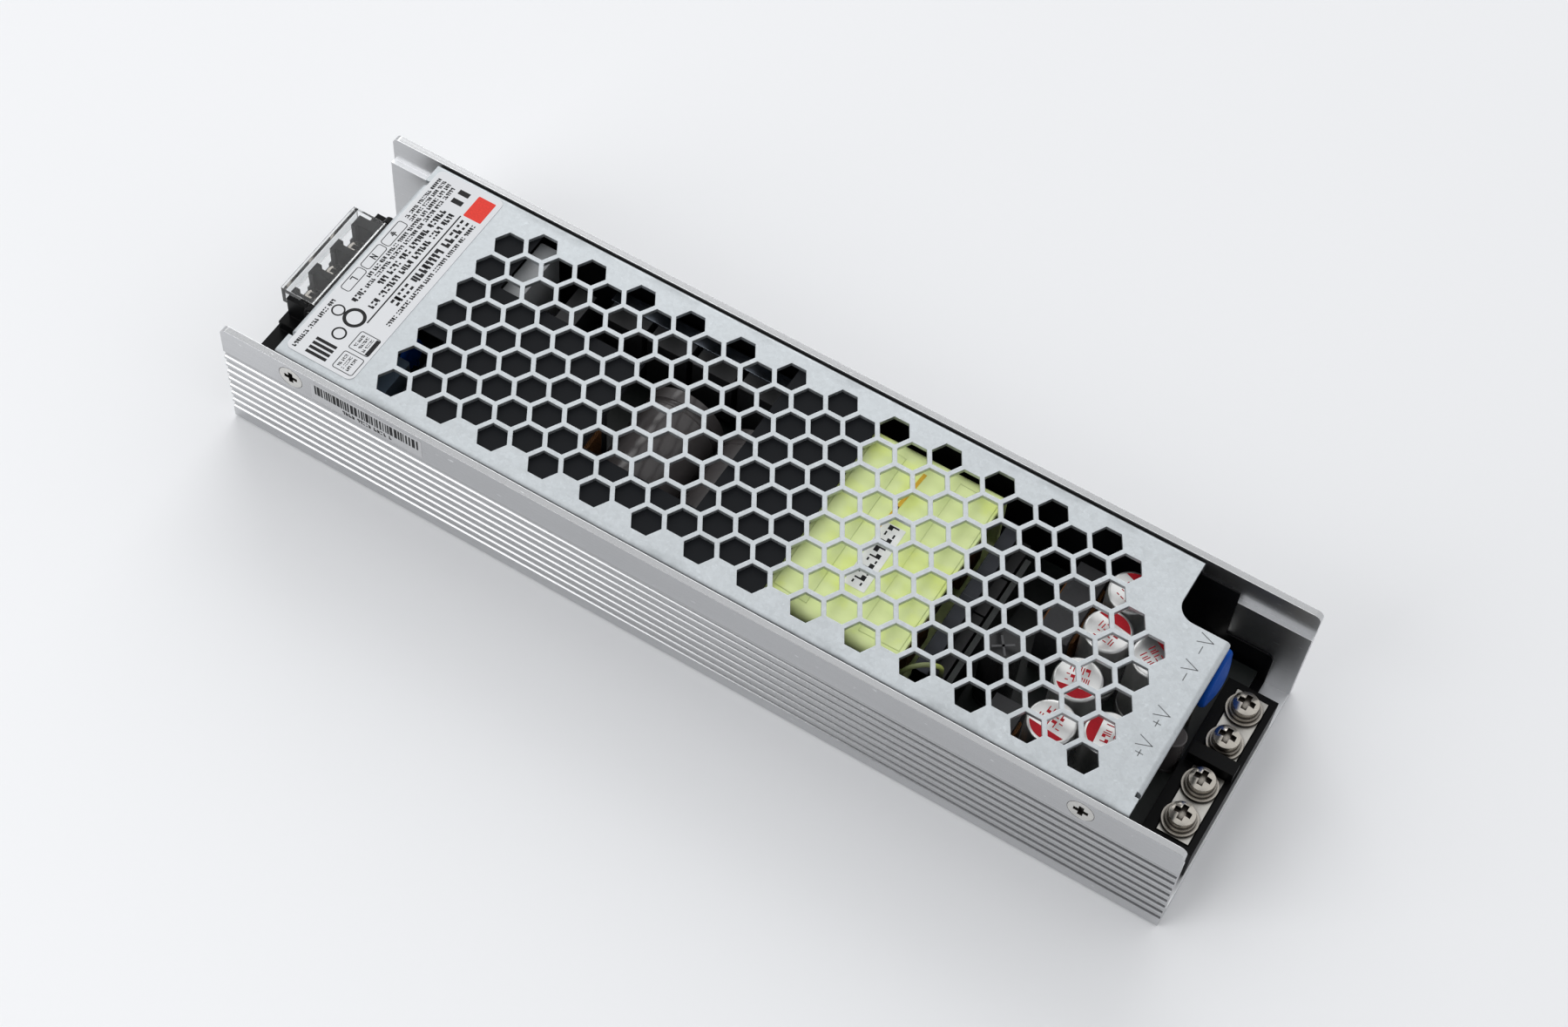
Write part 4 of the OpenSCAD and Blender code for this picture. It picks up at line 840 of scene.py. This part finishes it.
class SUPPLY_OT_label(bpy.types.Operator):
    """Prints the rating label with bars, boxes and the marks of the input terminals"""

    bl_idname = "supply.label"
    bl_label = "Label print"

    def execute(self, context):
        c, p = colours(), print_sizes()
        dice = random.Random(p.seed)
        low, high = corner("rating_label", 0), corner("rating_label", 1)
        margin = 0.4
        face = Surface((low.x + margin, 0.0, high.z), (0.0, -1.0, 0.0), (1.0, 0.0, 0.0))
        thin = p.line * 0.8
        shapes = []
        # Lines of print: start and end along the label, distance from its input edge, height
        for u0, u1, v, height in (
            (-19.4, 11.8, 13.6, p.small),
            (-19.4, 6.4, 11.0, p.large),
            (-19.4, 9.6, 7.8, p.medium),
            (-19.4, 3.2, 5.8, p.medium),
            (-25.4, 5.8, 4.3, p.small),
            (-25.8, 3.6, 3.0, p.small),
            (-26.0, -13.4, 1.8, p.small * 0.9),
            (-26.0, -13.8, 0.6, p.small * 0.9),
            (12.2, 25.8, 0.7, p.small),
            (6.8, 10.2, 4.0, p.medium),
        ):
            shapes += dummy_text(u0, u1, v, height, dice, 0.30)
        # Rule between the lines
        rule_v = 10.05
        shapes.append(block(-20.1, 13.4, rule_v, rule_v + p.line * 1.4))
        # Boxes over the input terminals: start and end, and the mark in the box
        for u0, u1, name in ((-12.3, -4.9, "earth"), (-4.9, 2.3, "N"), (2.3, 9.2, "L")):
            shapes += outline_box(u0 + 0.25, u1 - 0.25, 0.25, 2.5, 0.6, thin)
            shapes += mark(name, (u0 + u1) / 2 - 0.4, 0.75, 1.3, p.line * 1.2)
        # Plain rings: middle, radius, width of the line
        for u, v, radius, width in (
            (13.9, 3.4, 1.3, 0.35),
            (13.7, 7.3, 2.1, 0.75),
            (18.6, 7.0, 1.4, 0.4),
        ):
            shapes += ring((u, v), radius, width)
        # Two framed boxes of print, the first with a solid head
        for u0, u1 in ((15.6, 20.4), (21.4, 26.0)):
            shapes += outline_box(u0, u1, 10.5, 15.3, 0.5, thin)
            for v in (11.2, 12.3, 13.4):
                shapes += dummy_text(u0 + 0.7, u1 - 0.9, v, p.small * 0.7, dice)
        shapes.append(block(15.8, 20.2, 14.4, 15.2))
        # Upright bars at the near end and at the far end
        for u in (21.6, 22.8, 24.0, 25.2):
            shapes.append(block(u, u + 0.75, 3.8, 8.8))
        for u in (-26.0, -23.4):
            shapes.append(block(u, u + 1.3, 6.2, 8.8))
        ink = printed_ink("black_ink", c.ink)
        flat_piece("label_print", face, shapes, p.ink_depth, ink)
        bar = [rounded_plate(-26.6, -20.5, 10.5, 14.8, 0.25)]
        red_ink = printed_ink("red_ink", c.accent)
        flat_piece("label_bar", face, bar, p.ink_depth, red_ink)
        return {"FINISHED"}


class SUPPLY_OT_wall_sticker(bpy.types.Operator):
    """Sticks a strip of plain bars on the near wall"""

    bl_idname = "supply.wall_sticker"
    bl_label = "Wall sticker"

    def execute(self, context):
        p = print_sizes()
        dice = random.Random(p.seed + 1)
        wall_y = corner("chassis", 0).y
        start_x, start_z = -87.5, 24.0
        length, foot, top = 27.0, 0.1, 5.9
        backing = 0.03
        along, upward = (1.0, 0.0, 0.0), (0.0, 0.0, 1.0)
        face = Surface((start_x, wall_y, start_z), along, upward)
        plate = [rounded_plate(0.0, length, foot, top, 0.4)]
        stock = coated_paper("silver_stock", SILVER_STOCK, 0.38)
        flat_piece("wall_sticker", face, plate, backing, stock)
        front = Surface((start_x, wall_y - backing, start_z), along, upward)
        shapes = []
        start_u, end_margin = 0.9, 1.0
        u = start_u
        while u < length - end_margin:
            wide = dice.choice((0.26, 0.42, 0.42, 0.72))
            shapes.append(block(u, u + wide, 2.2, 5.2))
            u += wide + dice.choice((0.2, 0.2, 0.36))
        shapes += dummy_text(7.6, 19.6, 0.5, p.small * 1.25, dice)
        ink = bpy.data.materials["black_ink"]
        flat_piece("wall_sticker_print", front, shapes, p.ink_depth, ink)
        return {"FINISHED"}


class SUPPLY_OT_polarity(bpy.types.Operator):
    """Draws the polarity marks stamped into the cover as dark strokes of painted shade"""

    bl_idname = "supply.polarity"
    bl_label = "Polarity marks"

    def execute(self, context):
        high = corner("top_cover", 1)
        foot_x = 94.4
        line, depth = 0.2, 0.01
        face = Surface((foot_x, 0.0, high.z), (0.0, 1.0, 0.0), (-1.0, 0.0, 0.0))
        shapes = []
        # Each pair of marks: its sign, and where its letter stands beside a screw
        for sign, beside in (("minus", 11.9), ("minus", 4.9), ("plus", -7.1), ("plus", -14.6)):
            shapes += mark(sign, beside - 2.1, 0.4, 2.2, line)
            shapes += mark("V", beside, 0.0, 3.0, line)
        # Painted shade: the stamped lines are drawn as dark strokes
        stamp = printed_ink("stamp_shade", STAMP_SHADE)
        flat_piece("polarity_marks", face, shapes, depth, stamp)
        return {"FINISHED"}


class SUPPLY_OT_capacitor_print(bpy.types.Operator):
    """Prints the tops of the output capacitors and scores the vent of the auxiliary one"""

    bl_idname = "supply.capacitor_print"
    bl_label = "Capacitor print"

    def execute(self, context):
        c = colours()
        dice = random.Random(print_sizes().seed + 2)
        top = corner("output_capacitors", 1).z
        face = Surface((0.0, 0.0, top), (1.0, 0.0, 0.0), (0.0, 1.0, 0.0))
        rim = 4.35
        half_segment = 62.0
        off_middle = 0.6
        shapes = []
        # Each capacitor: its middle, and the direction of its red segment in degrees
        for x, y, side in ((75.3, 17.2, 70), (75.3, 6.8, 80), (85.9, 6.6, 60),
                           (75.3, -6.0, -80), (75.3, -17.0, -95), (85.8, -13.5, 185)):
            shapes.append(arc((x, y), rim, side - half_segment, side + half_segment, 28))
            away = math.radians(side + 180)
            away_x, away_y = math.cos(away), math.sin(away)
            origin = (x + off_middle * away_x, y + off_middle * away_y, top)
            turned = Surface(origin, (-away_y, away_x, 0.0), (-away_x, -away_y, 0.0))
            # Two rows of print: distance from the middle, half length
            rows = []
            for v, half in ((0.1, 2.2), (-2.1, 1.8)):
                rows += dummy_text(-half, half, v, 1.6, dice, 0.15)
            for row in rows:
                points = [turned.point(u, v, 0.0) / MM for u, v in row]
                shapes.append([(point.x, point.y) for point in points])
        red_ink = printed_ink("dark_red_ink", c.red)
        flat_piece("capacitor_print", face, shapes, 0.02, red_ink)

        low, high = corner("auxiliary_capacitor", 0), corner("auxiliary_capacitor", 1)
        middle = (low + high) / 2
        vent = Surface((middle.x, middle.y, high.z), (1.0, 0.0, 0.0), (0.0, 1.0, 0.0))
        cross = [stroke((-1.7, -1.2), (1.7, 1.2), 0.5), stroke((-1.2, 1.7), (1.2, -1.7), 0.5)]
        score = moulded("vent_score", VENT_SCORE, 0.30)
        flat_piece("capacitor_vent", vent, cross, 0.03, score)
        return {"FINISHED"}


class SUPPLY_OT_tape(bpy.types.Operator):
    """Adds the laps of tape, the paper strip and a sleeved lead to the transformer"""

    bl_idname = "supply.tape"
    bl_label = "Transformer details"

    def execute(self, context):
        c, p = colours(), print_sizes()
        dice = random.Random(p.seed + 3)
        top = corner("transformer_wrap", 1).z
        face = Surface((0.0, 0.0, top), (1.0, 0.0, 0.0), (0.0, 1.0, 0.0))
        laps = [
            [(14.9, -20.0), (22.8, -20.6), (22.6, 19.5), (14.7, 20.1)],
            [(34.3, -20.4), (43.4, -20.2), (43.6, 19.9), (34.6, 20.3)],
        ]
        lap_tape = wrapped_tape("tape_lap", shade_of(c.tape, 0.98))
        flat_piece("tape_laps", face, laps, 0.06, lap_tape)
        seams = strokes([(26.4, 2.7), (26.7, 8.3), (27.6, 17.9)], 0.8)
        seam = printed_ink("tape_seam", TAPE_SEAM)
        flat_piece("tape_seams", face, seams, 0.07, seam)

        strip_t = 0.10
        strip = [rounded_plate(26.3, 31.1, -12.5, 4.3, 0.2)]
        paper = coated_paper("paper_strip", PAPER, 0.5)
        flat_piece("paper_strip", face, strip, strip_t, paper)
        reading = Surface((28.7, -12.1, top + strip_t), (0.0, 1.0, 0.0), (-1.0, 0.0, 0.0))
        words = dummy_text(0.6, 15.4, -1.1, 2.2, dice, 0.17)
        ink = bpy.data.materials["black_ink"]
        flat_piece("paper_strip_print", reading, words, p.ink_depth, ink)

        sleeve = wrapped_tape("lead_sleeve", shade_of(c.tape, 0.32))
        route = [
            (44.0, -22.0, 21.0),
            (47.0, -20.6, 26.6),
            (50.6, -18.0, 26.4),
            (51.4, -16.0, 20.0),
        ]
        bent_lead("transformer_lead", route, 0.5, sleeve)
        return {"FINISHED"}


# Studio


def softbox(name, power, place, width, height):
    """A soft light at a place, turned to the middle of the part."""
    light = bpy.data.lights.new(name, "AREA")
    light.shape = "RECTANGLE"
    light.size = width
    light.size_y = height
    light.energy = power
    lamp = bpy.data.objects.new(name, light)
    lamp.location = place
    aim = (CAD_BOX[0] + CAD_BOX[1]) / 2 - lamp.location
    lamp.rotation_euler = aim.to_track_quat("-Z", "Y").to_euler()
    bpy.context.scene.collection.objects.link(lamp)


class SUPPLY_OT_studio(bpy.types.Operator):
    """Sets the camera, the pale table and the soft light"""

    bl_idname = "supply.studio"
    bl_label = "Studio"

    def execute(self, context):
        scene = context.scene
        studio = scene.supply_studio
        scene.view_settings.view_transform = "Standard"

        lens = bpy.data.cameras.new("camera")
        lens.lens = studio.lens
        lens.sensor_fit = "HORIZONTAL"
        lens.sensor_width = SENSOR_WIDTH
        lens.clip_start = 0.01
        camera = bpy.data.objects.new("camera", lens)
        camera.location = studio.camera
        camera.rotation_euler = studio.aim
        scene.collection.objects.link(camera)
        scene.camera = camera

        table = Finish("table_top")
        grain = table.noise(700.0, detail=3.0)
        cloud = table.noise(4.0, detail=2.0)
        tone = table.mix(0.3 * grain + 0.7 * cloud, shade_of(studio.floor, 0.985), studio.floor)
        rough = 0.55 + 0.1 * grain
        surface = table.shade(base_color=tone, roughness=rough, specular_ior_level=0.25)
        half_table = 3.0
        bm = bmesh.new()
        bmesh.ops.create_grid(bm, x_segments=2, y_segments=2, size=half_table)
        mesh = bpy.data.meshes.new("table")
        bm.to_mesh(mesh)
        bm.free()
        mesh.materials.append(surface)
        floor = bpy.data.objects.new("table", mesh)
        floor.location.z = CAD_BOX[0].z
        scene.collection.objects.link(floor)

        # Places, widths and heights of the soft lights, in metres
        softbox("softbox_back", studio.key, (-1.1, 2.26, 1.45), 2.56, 1.85)
        softbox("softbox_front", studio.fill, (-0.55, -0.80, 0.516), 0.66, 0.80)

        world = bpy.data.worlds.new("surroundings")
        sky = Graph(world)
        direction = sky.node("ShaderNodeTexCoord", out="Generated")
        sideways = sky.node("ShaderNodeSeparateXYZ", None, {"Vector": direction}, "X")
        backward = sky.node("ShaderNodeSeparateXYZ", None, {"Vector": direction}, "Y")
        # The surroundings are dim towards the front right only
        bright = sky.span(backward - 0.45 * sideways, -0.86, -0.38)
        colour = sky.mix(bright, DIM_SKY, BRIGHT_SKY)
        backdrop = sky.node("ShaderNodeBackground", None, {"Color": colour, "Strength": studio.sky})
        sky.node("ShaderNodeOutputWorld", None, {"Surface": backdrop})
        scene.world = world
        return {"FINISHED"}


class SUPPLY_PT_panel(bpy.types.Panel):
    """Lists the pieces and their settings"""

    bl_label = "Power supply"
    bl_idname = "SUPPLY_PT_panel"
    bl_space_type = "VIEW_3D"
    bl_region_type = "UI"
    bl_category = "Supply"

    def draw(self, context):
        layout = self.layout
        for operator in OPERATORS:
            layout.operator(operator.bl_idname)
        scene = context.scene
        for group in (scene.supply_colours, scene.supply_print, scene.supply_studio):
            box = layout.box()
            for name in group.__annotations__:
                box.prop(group, name)


OPERATORS = (
    SUPPLY_OT_studio,
    SUPPLY_OT_case,
    SUPPLY_OT_terminals,
    SUPPLY_OT_inside,
    SUPPLY_OT_label,
    SUPPLY_OT_wall_sticker,
    SUPPLY_OT_polarity,
    SUPPLY_OT_capacitor_print,
    SUPPLY_OT_tape,
)
CLASSES = (SupplyColours, SupplyPrint, SupplyStudio, *OPERATORS, SUPPLY_PT_panel)


def register():
    """Registers the classes and hangs the settings on the scene."""
    for cls in CLASSES:
        bpy.utils.register_class(cls)
    bpy.types.Scene.supply_colours = PointerProperty(type=SupplyColours)
    bpy.types.Scene.supply_print = PointerProperty(type=SupplyPrint)
    bpy.types.Scene.supply_studio = PointerProperty(type=SupplyStudio)


def unregister():
    """Takes the settings and the classes away again."""
    del bpy.types.Scene.supply_studio
    del bpy.types.Scene.supply_print
    del bpy.types.Scene.supply_colours
    for cls in reversed(CLASSES):
        bpy.utils.unregister_class(cls)


def main():
    """Makes the pieces in order."""
    register()
    bpy.ops.supply.studio()
    bpy.ops.supply.case()
    bpy.ops.supply.terminals()
    bpy.ops.supply.inside()
    bpy.ops.supply.label()
    bpy.ops.supply.wall_sticker()
    bpy.ops.supply.polarity()
    bpy.ops.supply.capacitor_print()
    bpy.ops.supply.tape()


if __name__ == "__main__":
    main()
